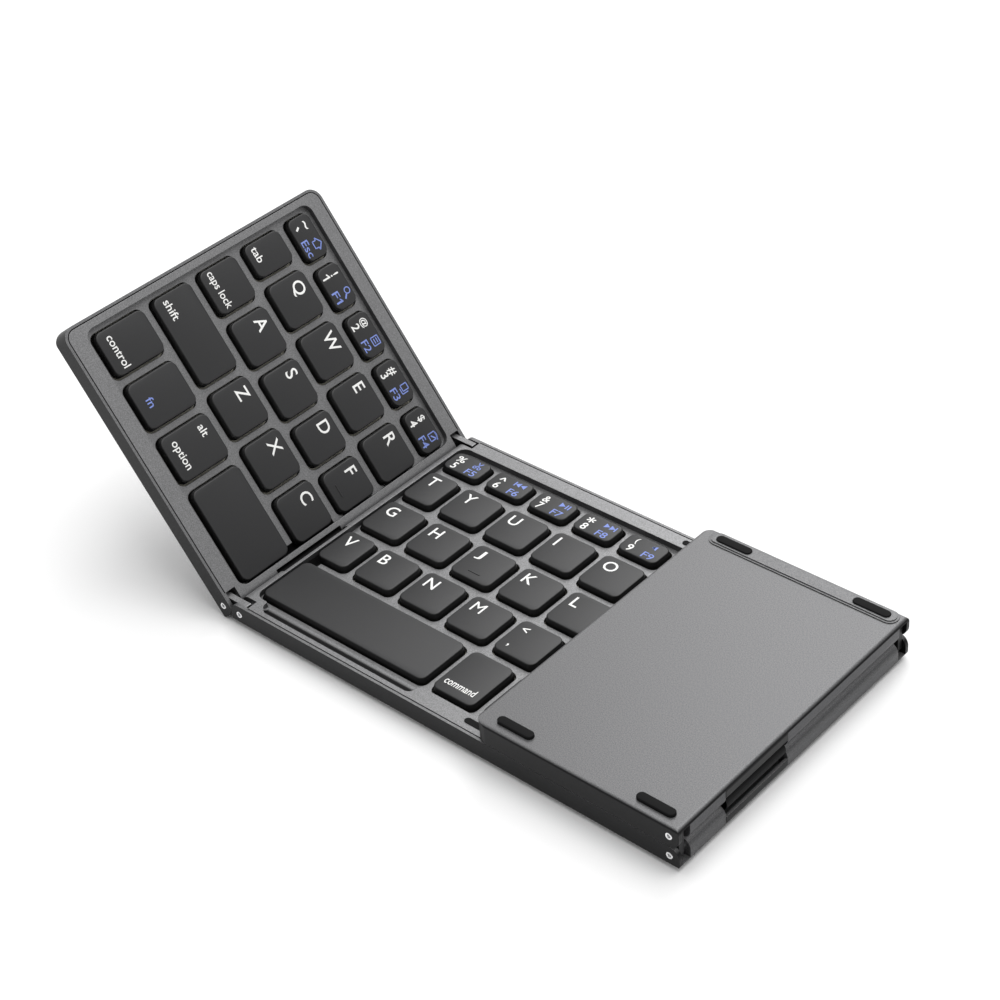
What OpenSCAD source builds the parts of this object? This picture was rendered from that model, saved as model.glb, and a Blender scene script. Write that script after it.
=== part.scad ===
// Folding keyboard of three panels with two double hinges.
// Frame: origin at the centre of the middle panel's underside, X along the
// row of panels, Y towards the number keys, Z up through the key tops.
// The left panel stands part open and the right panel lies folded on the middle.

/* [Panels] */
// Depth of every panel, front edge to rear edge
depth = 96.9; // [93:0.1:110]
// Distance from the keyboard's centre to each of the middle panel's pins
hinge_x = 74.2; // [72:0.1:80]
// Left panel, from its pin to its outer end
left_len = 86.2; // [80:0.1:87]
// Right panel, from its pin to its outer end
right_len = 61.8; // [56:0.1:61.9]
// Thickness of a panel without its feet
panel_t = 6.2; // [6:0.1:7]
// Radius of the outer corners seen from above
corner_r = 4; // [2.5:0.5:6]
// Angle of the left panel above flat in the stored pose
left_open = 53; // [0:1:90]

/* [Shells] */
// Thickness of the shell walls
wall_t = 0.8; // [0.7:0.1:1.3]
// Thickness of the shell floor
floor_t = 0.9; // [0.7:0.1:1.1]
// Radius of the underside's outer edges
edge_r = 0.8; // [0.4:0.1:1.2]
// Radius of the underside's corner at a hinge
heel_r = 1.3; // [1:0.1:2]
// Height of the ribs that carry the support plates
rib_h = 0.6; // [0.4:0.1:0.8]
// Width of a rib
rib_w = 0.8; // [0.6:0.1:1.5]
// Spacing of the ribs
rib_pitch = 24; // [16:1:30]

/* [Hinges] */
// Gap between the rims of two folded panels
fold_gap = 0.2; // [0.2:0.05:0.5]
// Radius of the hinge pins
pin_r = 1.1; // [0.8:0.05:1.2]
// Radius of the blind hole in a pin's outer end
pin_hole_r = 0.5; // [0.3:0.05:0.6]
// Depth of that blind hole
pin_hole_deep = 1.2; // [0.6:0.1:2]
// Width of an ear, the stretch of front or rear wall that holds a pin
ear_w = 1.2; // [1.1:0.1:2.6]
// Width of a link between two ears
link_w = 1.9; // [1.6:0.1:2.8]
// Distance from a panel's front or rear face to its barrels
notch_w = 4.5; // [4:0.1:6]
// Side clearance of a link in its notch
link_gap = 0.15; // [0.1:0.05:0.3]
// Radius of a link round each pin
link_r = 2; // [1.7:0.05:2.1]
// Height of a link's top above the pins
link_top = 2.8; // [2.2:0.1:2.8]
// How far a link's top runs past each pin
link_over = 2.1; // [0.8:0.1:2.1]
// Radius of the link's upper corners
link_round = 0.5; // [0.4:0.1:1]
// Length of the notch for a link, from the pin to its edge in the deck
notch_len = 3; // [2.9:0.1:5]
// Radius of the room under that edge, which the link's corner turns through
notch_r = 3.5; // [3.45:0.05:4]
// Gap from the keys' wells to the inner ends of the pins
pin_clear = 0.3; // [0.2:0.1:1]
// Step from the shell's edge back to the barrel above it
barrel_inset = 0.1; // [0.05:0.05:0.3]
// How far a barrel runs into its panel, from the pin
barrel_in = 2.6; // [2:0.1:3.2]
// Radial clearance of the links on the pins
run_fit = 0.05; // [0.02:0.01:0.1]
// Radial clearance of the pins in their own panel
seat_fit = 0.02; // [0.01:0.01:0.05]

/* [Ribbon cable] */
// Front end of the gap in the barrels for the ribbon cable
ribbon_y0 = -30.05; // [-34:0.05:-20]
// Rear end of that gap
ribbon_y1 = -4.85; // [-12:0.05:4]
// Thickness of the shell's lip along the gap
lip_t = 0.8; // [0.6:0.1:1]
// Thickness of the deck's strip above the cable
strip_t = 1.5; // [1.2:0.1:1.6]
// How far the middle panel's strip reaches out past the pin
strip_mid = 0.6; // [0.3:0.1:1]
// How far a side panel's strip reaches out past its pin
strip_side = 0; // [-0.5:0.1:0]
// Thickness of the ribbon cable
ribbon_t = 0.2; // [0.15:0.05:0.3]
// Gap from the cable's edges to the barrels
ribbon_side = 0.6; // [0.3:0.1:1.5]
// Height of the cable above the pins in an open hinge
ribbon_up = 0.6; // [0.4:0.1:0.8]
// Depth of the cable below the pins inside a panel, under the keys
ribbon_down = 1.4; // [1:0.1:1.6]
// Distance from the pin to where the cable has dived under the keys
ribbon_dive = 0.5; // [0.3:0.1:0.8]
// Same distance in the left panel, whose keys start further in
ribbon_dive_left = 1.6; // [1:0.1:1.8]
// How far in from the pin the cable ends
ribbon_in = 3.6; // [2.4:0.1:4]
// How far out past the pins the bend of a folded cable starts
bend_out = 0.5; // [0.3:0.1:0.8]
// Height of that bend's ends above and below the pins
bend_up = 0.9; // [0.8:0.1:1.2]

/* [Decks] */
// Gap between a shell's wall and the deck inside it
seam = 0.3; // [0.1:0.05:0.4]
// Width of the front rim, to the shell's outer face
rim_front = 6.2; // [5.8:0.1:7]
// Width of the rear rim
rim_rear = 5.4; // [5:0.1:6]
// Width of the rim at a panel's outer end
rim_outer = 3.2; // [2.6:0.1:4]
// Depth of the key pan below the rim
pan_depth = 1.9; // [1.5:0.1:2.1]
// Corner radius of the key pan
pan_r = 3; // [2:0.5:5]
// Thickness of the pan's floor
pan_t = 1.2; // [0.9:0.1:1.3]
// Thickness of the deck's skirt, which stands on the shell's floor
skirt_t = 0.9; // [0.7:0.1:1.2]
// How much further the thumb trough reaches than the pan
trough_deep = 3.1; // [2:0.1:3.6]
// Distance from the trough's ends to the ends of the space key
trough_in = 4.5; // [3:0.5:8]
// Corner radius of the trough
trough_r = 2.5; // [1.5:0.5:3]
// Height of the trough's lowest line above the pan
trough_rise = 0.15; // [0.1:0.05:0.3]
// How far that line lies inside the pan
trough_back = 0.5; // [0.3:0.1:1]

/* [Keys] */
// Width of a letter key's top
key_w = 14.1; // [13:0.1:14.5]
// Depth of a letter key's top
key_d = 13.75; // [13:0.05:14]
// Depth of a number key's top
number_d = 8.2; // [7:0.1:8.6]
// Width of a number key's top
number_w = 13.3; // [12:0.1:13.4]
// Gap between the tops of two neighbours in a row
key_gap = 3.1; // [2.8:0.1:3.4]
// Gap between the tops of two rows
row_gap = 3.6; // [3.2:0.1:3.7]
// Gap from the pan's edge to the outer keys
pan_margin = 2; // [1.8:0.1:2.4]
// Distance from the middle panel's pins to its keys
mid_start = 0.9; // [0.8:0.1:1.2]
// Distance from the left panel's pin to its keys
left_start = 2; // [1.8:0.1:2.4]
// Width of the first key of the T and V rows
short_w = 10.9; // [9:0.1:12]
// Width of the F and D keys
narrow_w = 12.4; // [11:0.1:13]
// Width of the left space key
left_space_w = 28.8; // [27:0.1:30]
// Width of the middle space key
mid_space_w = 60.2; // [56:0.1:61]
// Width of the alt and function keys
modifier_w = 13.8; // [12:0.1:14]
// Width of the escape key
esc_w = 13.4; // [11:0.1:15]
// Width of the tab key
tab_w = 10.2; // [8:0.1:12]
// Width of the caps lock key
caps_w = 13.6; // [11:0.1:15]
// Width of the left shift key
left_shift_w = 27.4; // [24:0.1:30]
// Width of the left control key
control_w = 13.3; // [11:0.1:15]
// Width of the backspace key
backspace_w = 15.4; // [13:0.1:17]
// Width of the backslash key
backslash_w = 12.2; // [10:0.1:14]
// Width of the enter key
enter_w = 26.2; // [23:0.1:29]
// Width of the right shift key
right_shift_w = 12.2; // [10:0.1:14]
// Width of the last arrow key
last_arrow_w = 14.5; // [12:0.1:16]
// How much wider a key is at its foot, on each side
key_draft = 0.25; // [0.1:0.05:0.3]
// Clearance between a key's foot and its well
key_clear = 0.25; // [0.15:0.05:0.35]
// Corner radius of a key
key_r = 2.2; // [1.5:0.1:3]
// Bevel round a key's top
key_bevel = 0.3; // [0.15:0.05:0.4]
// Depth of a key top below the rim
key_drop = 0.15; // [0.1:0.05:0.4]
// How far a key's skirt reaches below the pan's surface
key_skirt = 0.9; // [0.7:0.1:1.1]
// Thickness of a key's walls and top
key_wall = 1; // [0.8:0.1:1.2]
// Radius of a key's plunger
plunger_r = 1.4; // [1:0.1:1.8]

/* [Switch layers] */
// Thickness of the support plate
plate_t = 0.3; // [0.2:0.05:0.4]
// Thickness of the contact membrane
membrane_t = 0.4; // [0.2:0.05:0.45]
// Radius of a rubber dome at its foot
dome_r = 2.6; // [2:0.1:3]
// Height of a rubber dome
dome_h = 1.8; // [1.4:0.1:2]
// Wall of a rubber dome
dome_wall = 0.4; // [0.3:0.05:0.6]

/* [Feet] */
// Length of a rubber foot
foot_l = 11.4; // [10:0.1:13]
// Width of a rubber foot
foot_w = 2.7; // [2.4:0.1:3.4]
// Depth of the feet below the shell
foot_h = 0.9; // [0.85:0.05:1.2]
// Depth of a foot's seat
foot_seat = 0.3; // [0.2:0.05:0.4]
// Distance of the front feet's centre line from the front edge
foot_front = 3.9; // [2.9:0.1:4.4]
// Distance of the rear feet's centre line from the rear edge
foot_rear = 3; // [2.9:0.1:3.4]
// Distance from a pin to the centre of the nearest foot
foot_in = 6.5; // [6.4:0.1:10]
// Distance from the outer end to the centre of the nearest foot
foot_out = 11.2; // [9:0.1:14]
// Height of the bar that carries the rear feet
bar_h = 0.5; // [0.4:0.05:0.6]
// Width of that bar
bar_w = 5.2; // [4.6:0.1:5.4]
// Width of the step round the bar
bar_step = 0.6; // [0.4:0.1:0.8]
// How far the bar runs past a pin
bar_over = 1.5; // [1:0.1:1.6]
// Distance from the bar to a panel's outer end
bar_end = 3.3; // [3:0.1:5]
// Length of a bumper on the middle deck
bumper_l = 12.4; // [10:0.1:14]
// Width of a bumper
bumper_w = 2; // [1.6:0.1:2.4]
// Thickness of a bumper
bumper_t = 0.5; // [0.4:0.05:0.6]
// How far a bumper stands above the rim
bumper_up = 0.1; // [0.05:0.05:0.15]

/* [Electronics] */
// Distance from the centre to the charging socket
usb_x = 28; // [20:1:34]
// Width of the charging socket
usb_w = 7.4; // [7:0.1:7.6]
// Height of the charging socket
usb_h = 2.4; // [2.3:0.05:2.45]
// Length of the charging socket
usb_l = 5; // [4.6:0.1:5.4]
// Wall of the charging socket
usb_wall = 0.3; // [0.2:0.05:0.4]
// Distance from the centre to the power switch, switched off
switch_x = 46; // [42:1:52]
// Width of the switch's knob
knob_w = 2.4; // [2:0.1:3]
// Height of the knob
knob_h = 1.2; // [1:0.1:1.4]
// How far the knob stands out of the wall
knob_out = 0.4; // [0.2:0.1:0.6]
// Travel of the power switch
switch_travel = 2; // [1.5:0.1:3]
// Length of the main board
board_l = 52; // [44:1:56]
// Width of the main board
board_w = 30; // [20:1:32]
// Width of the touchpad, along X
pad_l = 50; // [40:1:52]
// Depth of the touchpad, along Y
pad_w = 76; // [60:1:80]
// Thickness of the touchpad's plate
pad_t = 1; // [0.8:0.1:1.1]
// Gap round the touchpad
pad_gap = 0.15; // [0.1:0.05:0.3]
// Thickness of the touchpad's board
pad_board_t = 0.8; // [0.6:0.1:1]
// Length of the battery
battery_l = 34; // [28:1:40]
// Width of the battery
battery_w = 60; // [50:1:66]
// Thickness of the battery
battery_t = 2.8; // [2.4:0.1:3]

/* [Hidden] */
$fn = 48;
eps = 0.01;
half_d = depth / 2;
pin_h = panel_t / 2;
ear_r = panel_t / 2;
link_c = panel_t + fold_gap;
notch_y = half_d - notch_w;
barrel_r = ear_r - barrel_inset;
inner_y = half_d - wall_t - seam;
pan_z = panel_t - pan_depth;
deck_z = pan_z - pan_t;
strip_z = panel_t - strip_t;
plate_z = floor_t + rib_h;
membrane_z = plate_z + plate_t;
dome_z = membrane_z + membrane_t;
key_z = pan_z - key_skirt;
key_top = panel_t - key_drop;
key_h = key_top - key_z;
foot_y = [-half_d + foot_front, half_d - foot_rear];
pan_front = -half_d + rim_front;
pan_rear = half_d - rim_rear;
keys_rear = pan_rear - pan_margin;
keys_front = pan_front + pan_margin;
mid_pan_x = hinge_x - mid_start + key_draft + key_clear;
left_pan_u = left_start - key_draft - key_clear;
left_fold_z = pin_h;
mid_x0 = -hinge_x - ear_r;
mid_x1 = hinge_x + ear_r;
seat_y = max(keys_rear, -keys_front) + key_draft + key_clear;
pin_y = seat_y + pin_clear;
plate_in = notch_r + 1;
folded_gap_x = hinge_x - right_len - (2 * hinge_x - left_len - right_len) / 2;
pad_z = panel_t - pad_t - seam;

// Rows of key widths, from the hinge side; each row shares out its panel's span
left_rows = [
    [number_w, number_w, number_w, number_w, esc_w],
    [key_w, key_w, key_w, key_w, tab_w],
    [narrow_w, narrow_w, key_w, key_w, caps_w],
    [key_w, key_w, key_w, left_shift_w],
    [left_space_w, modifier_w, modifier_w, control_w]
];
mid_rows = [
    concat([for (i = [1:8]) number_w], [backspace_w]),
    concat([short_w], [for (i = [1:7]) key_w], [backslash_w]),
    concat([for (i = [1:7]) key_w], [enter_w]),
    concat([short_w], [for (i = [1:7]) key_w], [right_shift_w]),
    concat([mid_space_w], [for (i = [1:4]) key_w], [last_arrow_w])
];
// Number row, three letter rows, then the deep row of the space keys
row_top = [for (r = [0:4])
    keys_rear - (r > 0 ? number_d + row_gap : 0) - max(0, r - 1) * (key_d + row_gap)];
row_depth = [number_d, key_d, key_d, key_d, row_top[4] - keys_front];

left_span = [left_start, left_len - rim_outer - pan_margin];
mid_span = [-hinge_x + mid_start, hinge_x - mid_start];

function bumper_y(s) = s > 0 ? foot_y[1] : foot_y[0];

function total(w, n) = n <= 0 ? 0 : w[n - 1] + total(w, n - 1);
function share(w, span) = (span[1] - span[0] - (len(w) - 1) * key_gap) / total(w, len(w));
function key_width(w, i, span) = w[i] * share(w, span);
function key_x(w, i, span) = span[0] + total(w, i) * share(w, span) + i * key_gap;

// ---- Places ----
// A side panel is drawn flat, with its pin over the origin and its outer end
// towards +X, and then carried to its place.

module at_left() {
    translate([-hinge_x - link_c, 0, pin_h])
        rotate([0, left_open, 0])
            mirror([1, 0, 0])
                translate([0, 0, -pin_h])
                    children();
}

module at_right() {
    translate([hinge_x, 0, pin_h + link_c])
        rotate([0, -180, 0])
            translate([0, 0, -pin_h])
                children();
}

// ---- Outlines ----

module corner_waste(r) {
    difference() {
        translate([-1, -1]) square(r + 1);
        translate([r, r]) circle(r);
    }
}

// Rectangle with its own radius at each corner, counted from the lower left
module round_rect(x0, x1, y0, y1, a, b, c, d) {
    difference() {
        translate([x0, y0]) square([x1 - x0, y1 - y0]);
        if (a > 0) translate([x0, y0]) corner_waste(a);
        if (b > 0) translate([x1, y0]) rotate(90) corner_waste(b);
        if (c > 0) translate([x1, y1]) rotate(180) corner_waste(c);
        if (d > 0) translate([x0, y1]) rotate(270) corner_waste(d);
    }
}

module stadium(l, w) {
    square([l - w, w], center = true);
    for (s = [-1, 1]) translate([s * (l - w) / 2, 0]) circle(w / 2);
}

// Extrudes an X-Z outline along Y, from y0 to y1
module along_y(y0, y1) {
    translate([0, y1, 0]) rotate([90, 0, 0]) linear_extrude(y1 - y0) children();
}

// Extrudes a Y-Z outline along X, from x0 to x1
module along_x(x0, x1) {
    translate([x0, 0, 0]) rotate([90, 0, 90]) linear_extrude(x1 - x0) children();
}

module box(x0, x1, y0, y1, z0, z1) {
    translate([x0, y0, z0]) cube([x1 - x0, y1 - y0, z1 - z0]);
}

module pin_hole(x, y0, y1, r) {
    translate([x, y1, pin_h]) rotate([90, 0, 0]) cylinder(h = y1 - y0, r = r);
}

// ---- Panel parts; h0 and h1 say which ends have a hinge ----

// Full outer form of a panel, from x0 to x1
module panel_form(x0, x1, h0, h1) {
    c0 = h0 ? 0 : corner_r;
    c1 = h1 ? 0 : corner_r;
    intersection() {
        along_y(-half_d, half_d)
            round_rect(x0, x1, 0, panel_t, h0 ? heel_r : edge_r,
                h1 ? heel_r : edge_r, h1 ? ear_r : 0, h0 ? ear_r : 0);
        along_x(x0, x1)
            round_rect(-half_d, half_d, 0, panel_t, edge_r, edge_r, 0, 0);
        linear_extrude(panel_t)
            round_rect(x0, x1, -half_d, half_d, c0, c1, c1, c0);
    }
}

// Raised bar under the rear edge, which carries the rear feet
module foot_bar(x0, x1) {
    mid = (x0 + x1) / 2;
    for (k = [0, 1])
        translate([mid, foot_y[1], -bar_h + k * bar_h / 2])
            linear_extrude(bar_h * (1 - k / 2) + edge_r)
                stadium(x1 - x0 - (1 - k) * bar_step * 2, bar_w - (1 - k) * bar_step * 2);
}

module foot_seats(xs) {
    for (x = xs) {
        translate([x, foot_y[0], -1]) linear_extrude(1 + foot_seat) stadium(foot_l, foot_w);
        translate([x, foot_y[1], -1 - bar_h])
            linear_extrude(1 + foot_seat) stadium(foot_l, foot_w);
    }
}

module feet(xs) {
    for (x = xs) {
        translate([x, foot_y[0], -foot_h])
            linear_extrude(foot_h + foot_seat) stadium(foot_l, foot_w);
        translate([x, foot_y[1], -foot_h])
            linear_extrude(foot_h - bar_h + foot_seat) stadium(foot_l, foot_w);
    }
}

// Room in a shell at one hinge, drawn for a hinge at the pin x, dir to its panel
module hinge_room(x, dir) {
    out = x - dir * (ear_r + 1);
    lip_out = x - dir * (ear_r + 2);
    lip_in = x - dir * (ear_r - lip_t);
    inn = x + dir * (notch_len + eps);
    difference() {
        box(min(out, inn), max(out, inn), -half_d + ear_w, half_d - ear_w,
            floor_t, panel_t + 1);
        box(min(lip_out, lip_in), max(lip_out, lip_in), ribbon_y0, ribbon_y1, 0, pin_h);
    }
    pin_hole(x, -half_d - 1, half_d + 1, pin_r + seat_fit);
}

// Lower shell: floor, three walls, ears with their bores, the lip and ribs
module shell(x0, x1, h0, h1, feet_at, bar, rib_count) {
    px0 = h0 ? x0 + ear_r + notch_len : x0 + wall_t;
    px1 = h1 ? x1 - ear_r - notch_len : x1 - wall_t;
    q0 = h0 ? 0 : corner_r - wall_t;
    q1 = h1 ? 0 : corner_r - wall_t;
    iy = half_d - wall_t;
    difference() {
        union() {
            panel_form(x0, x1, h0, h1);
            foot_bar(bar[0], bar[1]);
        }
        translate([0, 0, floor_t])
            linear_extrude(panel_t) round_rect(px0, px1, -iy, iy, q0, q1, q1, q0);
        if (h0) hinge_room(x0 + ear_r, 1);
        if (h1) hinge_room(x1 - ear_r, -1);
        foot_seats(feet_at);
    }
    for (i = [0:rib_count - 1]) {
        x = (px0 + px1) / 2 + (i - (rib_count - 1) / 2) * rib_pitch;
        box(x - rib_w / 2, x + rib_w / 2, keys_front, rib_end, floor_t - eps, plate_z);
    }
}

rib_end = half_d - rim_rear - pan_margin - board_w - 1;

// Deck with its rim, barrels and skirt, before the pan is cut
module deck_form(x0, x1, h0, h1, under_z, strip_out) {
    dx0 = h0 ? x0 + barrel_inset : x0 + wall_t + seam;
    dx1 = h1 ? x1 - barrel_inset : x1 - wall_t - seam;
    q0 = h0 ? 0 : corner_r - wall_t - seam;
    q1 = h1 ? 0 : corner_r - wall_t - seam;
    kx0 = h0 ? x0 + ear_r + barrel_in : dx0 + skirt_t;
    kx1 = h1 ? x1 - ear_r - barrel_in : dx1 - skirt_t;
    ky = inner_y - skirt_t;
    difference() {
        intersection() {
            along_y(-inner_y, inner_y)
                round_rect(dx0, dx1, floor_t, panel_t, 0, 0,
                    h1 ? barrel_r : 0, h0 ? barrel_r : 0);
            linear_extrude(panel_t + 1)
                round_rect(dx0, dx1, -inner_y, inner_y, q0, q1, q1, q0);
        }
        box(kx0, kx1, -ky, ky, 0, under_z);
        if (h0) barrel_cuts(x0 + ear_r, 1, strip_out);
        if (h1) barrel_cuts(x1 - ear_r, -1, strip_out);
    }
}

// Notches for the links, the gap for the ribbon cable and the pin bores
module barrel_cuts(x, dir, strip_out) {
    out = x - dir * (ear_r + 1);
    inn = x + dir * notch_len;
    strip = x - dir * strip_out;
    past = x + dir * (barrel_in + 1);
    for (s = [-1, 1])
        box(min(out, inn), max(out, inn), min(s * notch_y, s * (half_d + 1)),
            max(s * notch_y, s * (half_d + 1)), 0, panel_t + 1);
    pin_hole(x, notch_y, half_d + 1, notch_r);
    pin_hole(x, -half_d - 1, -notch_y, notch_r);
    box(min(out, past), max(out, past), ribbon_y0, ribbon_y1, 0, strip_z);
    box(min(out, strip), max(out, strip), ribbon_y0, ribbon_y1, 0, panel_t + 1);
    pin_hole(x, pin_y - seat_fit, half_d, pin_r + seat_fit);
    pin_hole(x, -half_d, -pin_y + seat_fit, pin_r + seat_fit);
}

module wells(rows, span) {
    grow = key_draft + key_clear;
    for (r = [0:4])
        for (i = [0:len(rows[r]) - 1]) {
            x = key_x(rows[r], i, span);
            w = key_width(rows[r], i, span);
            translate([0, 0, deck_z - 1]) linear_extrude(panel_t)
                round_rect(x - grow, x + w + grow, row_top[r] - row_depth[r] - grow,
                    row_top[r] + grow, key_r, key_r, key_r, key_r);
        }
}

module pan(x0, x1) {
    translate([0, 0, pan_z]) linear_extrude(panel_t)
        round_rect(x0, x1, pan_front, pan_rear, pan_r, pan_r, pan_r, pan_r);
}

// One key cap with its foot at key_z: sloped sides, bevelled top, hollow inside
module key_cap(x, w, y, d) {
    g = key_draft;
    h = key_h;
    b = key_bevel;
    difference() {
        intersection() {
            along_y(y - d - g, y + g) translate([x, key_z])
                polygon([[-g, 0], [w + g, 0], [w, h - b], [w - b, h], [b, h], [0, h - b]]);
            along_x(x - g, x + w + g) translate([y - d, key_z])
                polygon([[-g, 0], [d + g, 0], [d, h - b], [d - b, h], [b, h], [0, h - b]]);
            translate([0, 0, key_z]) linear_extrude(h)
                round_rect(x - g, x + w + g, y - d - g, y + g, key_r, key_r, key_r, key_r);
        }
        box(x + key_wall, x + w - key_wall, y - d + key_wall, y - key_wall,
            key_z - 1, key_top - key_wall);
    }
    translate([x + w / 2, y - d / 2, dome_z + dome_h])
        cylinder(h = key_top - key_wall / 2 - dome_z - dome_h, r = plunger_r);
}

// Keys i0 to i1 of one row
module keys(rows, span, r, i0, i1) {
    color("#2f2f30")
        for (i = [i0:i1])
            key_cap(key_x(rows[r], i, span), key_width(rows[r], i, span),
                row_top[r], row_depth[r]);
}

module domes(rows, span) {
    for (r = [0:4])
        for (i = [0:len(rows[r]) - 1])
            translate([key_x(rows[r], i, span) + key_width(rows[r], i, span) / 2,
                row_top[r] - row_depth[r] / 2, dome_z])
                rotate_extrude()
                    polygon([[dome_r - dome_wall, 0], [dome_r, 0], [plunger_r, dome_h],
                        [0, dome_h], [0, dome_h - dome_wall],
                        [plunger_r - dome_wall / 2, dome_h - dome_wall]]);
}

module sheet(x0, x1, z, t) {
    translate([0, 0, z]) linear_extrude(t)
        round_rect(x0, x1, -seat_y, seat_y, 2, 2, 2, 2);
}

// ---- Hinge parts ----

// A pin whose outer end is flush with the ear at side s
module hinge_pin(s) {
    l = half_d - pin_y;
    y0 = s > 0 ? pin_y : -half_d;
    difference() {
        pin_hole(0, y0, y0 + l, pin_r);
        translate([0, s * (half_d - pin_hole_deep), 0])
            pin_hole(0, s > 0 ? 0 : -1 - pin_hole_deep, s > 0 ? pin_hole_deep + 1 : 0,
                pin_hole_r);
    }
}

module pin_pair() {
    color("#d5d6d8") for (s = [-1, 1]) hinge_pin(s);
}

// Links of one hinge, from the pin over the origin to a pin at +X
module link_pair() {
    y_out = half_d - ear_w - link_gap;
    color("#5c5d5f")
        for (s = [-1, 1])
            translate([0, s * (y_out - link_w / 2), pin_h])
                along_y(-link_w / 2, link_w / 2)
                    link_outline();
}

module link_outline() {
    difference() {
        union() {
            for (x = [0, link_c]) translate([x, 0]) circle(link_r);
            translate([0, -link_r]) square([link_c, 2 * link_r]);
            round_rect(-link_over, link_c + link_over, 0, link_top, 0, 0,
                link_round, link_round);
        }
        for (x = [0, link_c]) translate([x, 0]) circle(pin_r + run_fit);
    }
}

// ---- Middle panel ----

mid_feet_x = [-hinge_x + foot_in, hinge_x - foot_in];
side_bar = function (l) [-bar_over, l - bar_end];

module rear_ports() {
    box(usb_x - usb_w / 2 - pad_gap, usb_x + usb_w / 2 + pad_gap,
        half_d - wall_t - usb_l - pad_gap, half_d + 1, floor_t, floor_t + usb_h + pad_gap);
    box(switch_x - knob_w / 2 - pad_gap, switch_x + knob_w / 2 + switch_travel + pad_gap,
        half_d - wall_t - 2, half_d + 1, floor_t + rib_h - pad_gap,
        floor_t + rib_h + knob_h + pad_gap);
    box(switch_x - knob_w - 1, switch_x + knob_w + switch_travel + 1,
        half_d - wall_t - 3, half_d - wall_t, floor_t, floor_t + rib_h + knob_h + rib_h);
}

module mid_case() {
    color("#58595b") difference() {
        shell(mid_x0, mid_x1, true, true, mid_feet_x,
            [-hinge_x - bar_over, hinge_x + bar_over], 5);
        rear_ports();
    }
}

module mid_deck() {
    color("#707173") difference() {
        deck_form(mid_x0, mid_x1, true, true, deck_z, strip_mid);
        pan(-mid_pan_x, mid_pan_x);
        trough(mid_span[0] + trough_in,
            mid_span[0] + key_width(mid_rows[4], 0, mid_span) + key_gap - trough_in / 2);
        wells(mid_rows, mid_span);
        rear_ports();
        bumper_seats();
    }
}

// Scoop in the front rim for the thumb, from x0 to x1
module trough(x0, x1) {
    drop = pan_depth - trough_rise;
    reach = trough_deep + trough_back;
    r = (reach * reach + drop * drop) / (2 * drop);
    intersection() {
        translate([0, 0, pan_z]) linear_extrude(panel_t)
            round_rect(x0, x1, pan_front - trough_deep, pan_front + pan_r,
                trough_r, trough_r, 0, 0);
        along_x(x0 - 1, x1 + 1)
            translate([pan_front + trough_back, pan_z + trough_rise + r]) circle(r);
    }
}

module bumper_seats() {
    for (s = [-1, 1])
        translate([folded_gap_x, bumper_y(s), panel_t + bumper_up - bumper_t])
            linear_extrude(2) stadium(bumper_l, bumper_w);
}

module mid_plate() {
    color("#b4b6b8") sheet(-hinge_x + plate_in, hinge_x - plate_in, plate_z, plate_t);
}

module mid_membrane() {
    color("#d8d5c6")
        sheet(-hinge_x + plate_in, hinge_x - plate_in, membrane_z, membrane_t);
}

module mid_domes() {
    color("#dddddd") domes(mid_rows, mid_span);
}

module mid_board() {
    y1 = half_d - wall_t - usb_l;
    color("#1f5b35") difference() {
        box(2, 2 + board_l, y1 - board_w, y1, floor_t, floor_t + rib_h);
        box(switch_x - knob_w - 2, switch_x + knob_w + switch_travel + 2,
            y1 - 2, y1 + 1, 0, panel_t);
    }
}

module usb_socket() {
    y1 = half_d - wall_t;
    w = usb_w / 2;
    color("#c9cacc") difference() {
        box(usb_x - w, usb_x + w, y1 - usb_l, y1, floor_t, floor_t + usb_h);
        box(usb_x - w + usb_wall, usb_x + w - usb_wall, y1 - usb_l + usb_wall, y1 + 1,
            floor_t + usb_wall, floor_t + usb_h - usb_wall);
    }
    color("#222222")
        box(usb_x - w / 2, usb_x + w / 2, y1 - usb_l + usb_wall / 2, y1 - 1,
            floor_t + usb_h / 2 - usb_wall, floor_t + usb_h / 2 + usb_wall);
}

module power_switch() {
    z = floor_t + rib_h;
    color("#222222") {
        box(switch_x - knob_w / 2, switch_x + knob_w / 2, half_d - wall_t - 1,
            half_d + knob_out, z, z + knob_h);
        box(switch_x - knob_w, switch_x + knob_w, half_d - wall_t - 2,
            half_d - wall_t - pad_gap, z - rib_h / 2, z + knob_h + rib_h / 2);
    }
}

module mid_feet() {
    color("#1c1c1c") feet(mid_feet_x);
}

module mid_bumpers() {
    color("#1c1c1c")
        for (s = [-1, 1])
            translate([folded_gap_x, bumper_y(s), panel_t + bumper_up - bumper_t])
                linear_extrude(bumper_t) stadium(bumper_l, bumper_w);
}

module mid_hinge_pins() {
    for (x = [-hinge_x, hinge_x]) translate([x, 0, 0]) pin_pair();
}

// ---- Left panel ----

left_feet_x = [foot_in, left_len - foot_out];

module left_case() {
    color("#58595b") at_left()
        shell(-ear_r, left_len, true, false, left_feet_x, side_bar(left_len), 3);
}

module left_deck() {
    color("#707173") at_left() difference() {
        deck_form(-ear_r, left_len, true, false, deck_z, strip_side);
        pan(left_pan_u, left_len - rim_outer);
        wells(left_rows, left_span);
    }
}

module left_plate() {
    color("#b4b6b8") at_left()
        sheet(plate_in, left_len - rim_outer, plate_z, plate_t);
}

module left_membrane() {
    color("#d8d5c6") at_left()
        sheet(plate_in, left_len - rim_outer, membrane_z, membrane_t);
}

module left_domes() {
    color("#dddddd") at_left() domes(left_rows, left_span);
}

module left_feet() {
    color("#1c1c1c") at_left() feet(left_feet_x);
}

module left_hinge_pins() {
    at_left() pin_pair();
}

// ---- Right panel ----

right_feet_x = [foot_in, right_len - foot_out];
pad_x = right_len / 2;

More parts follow.
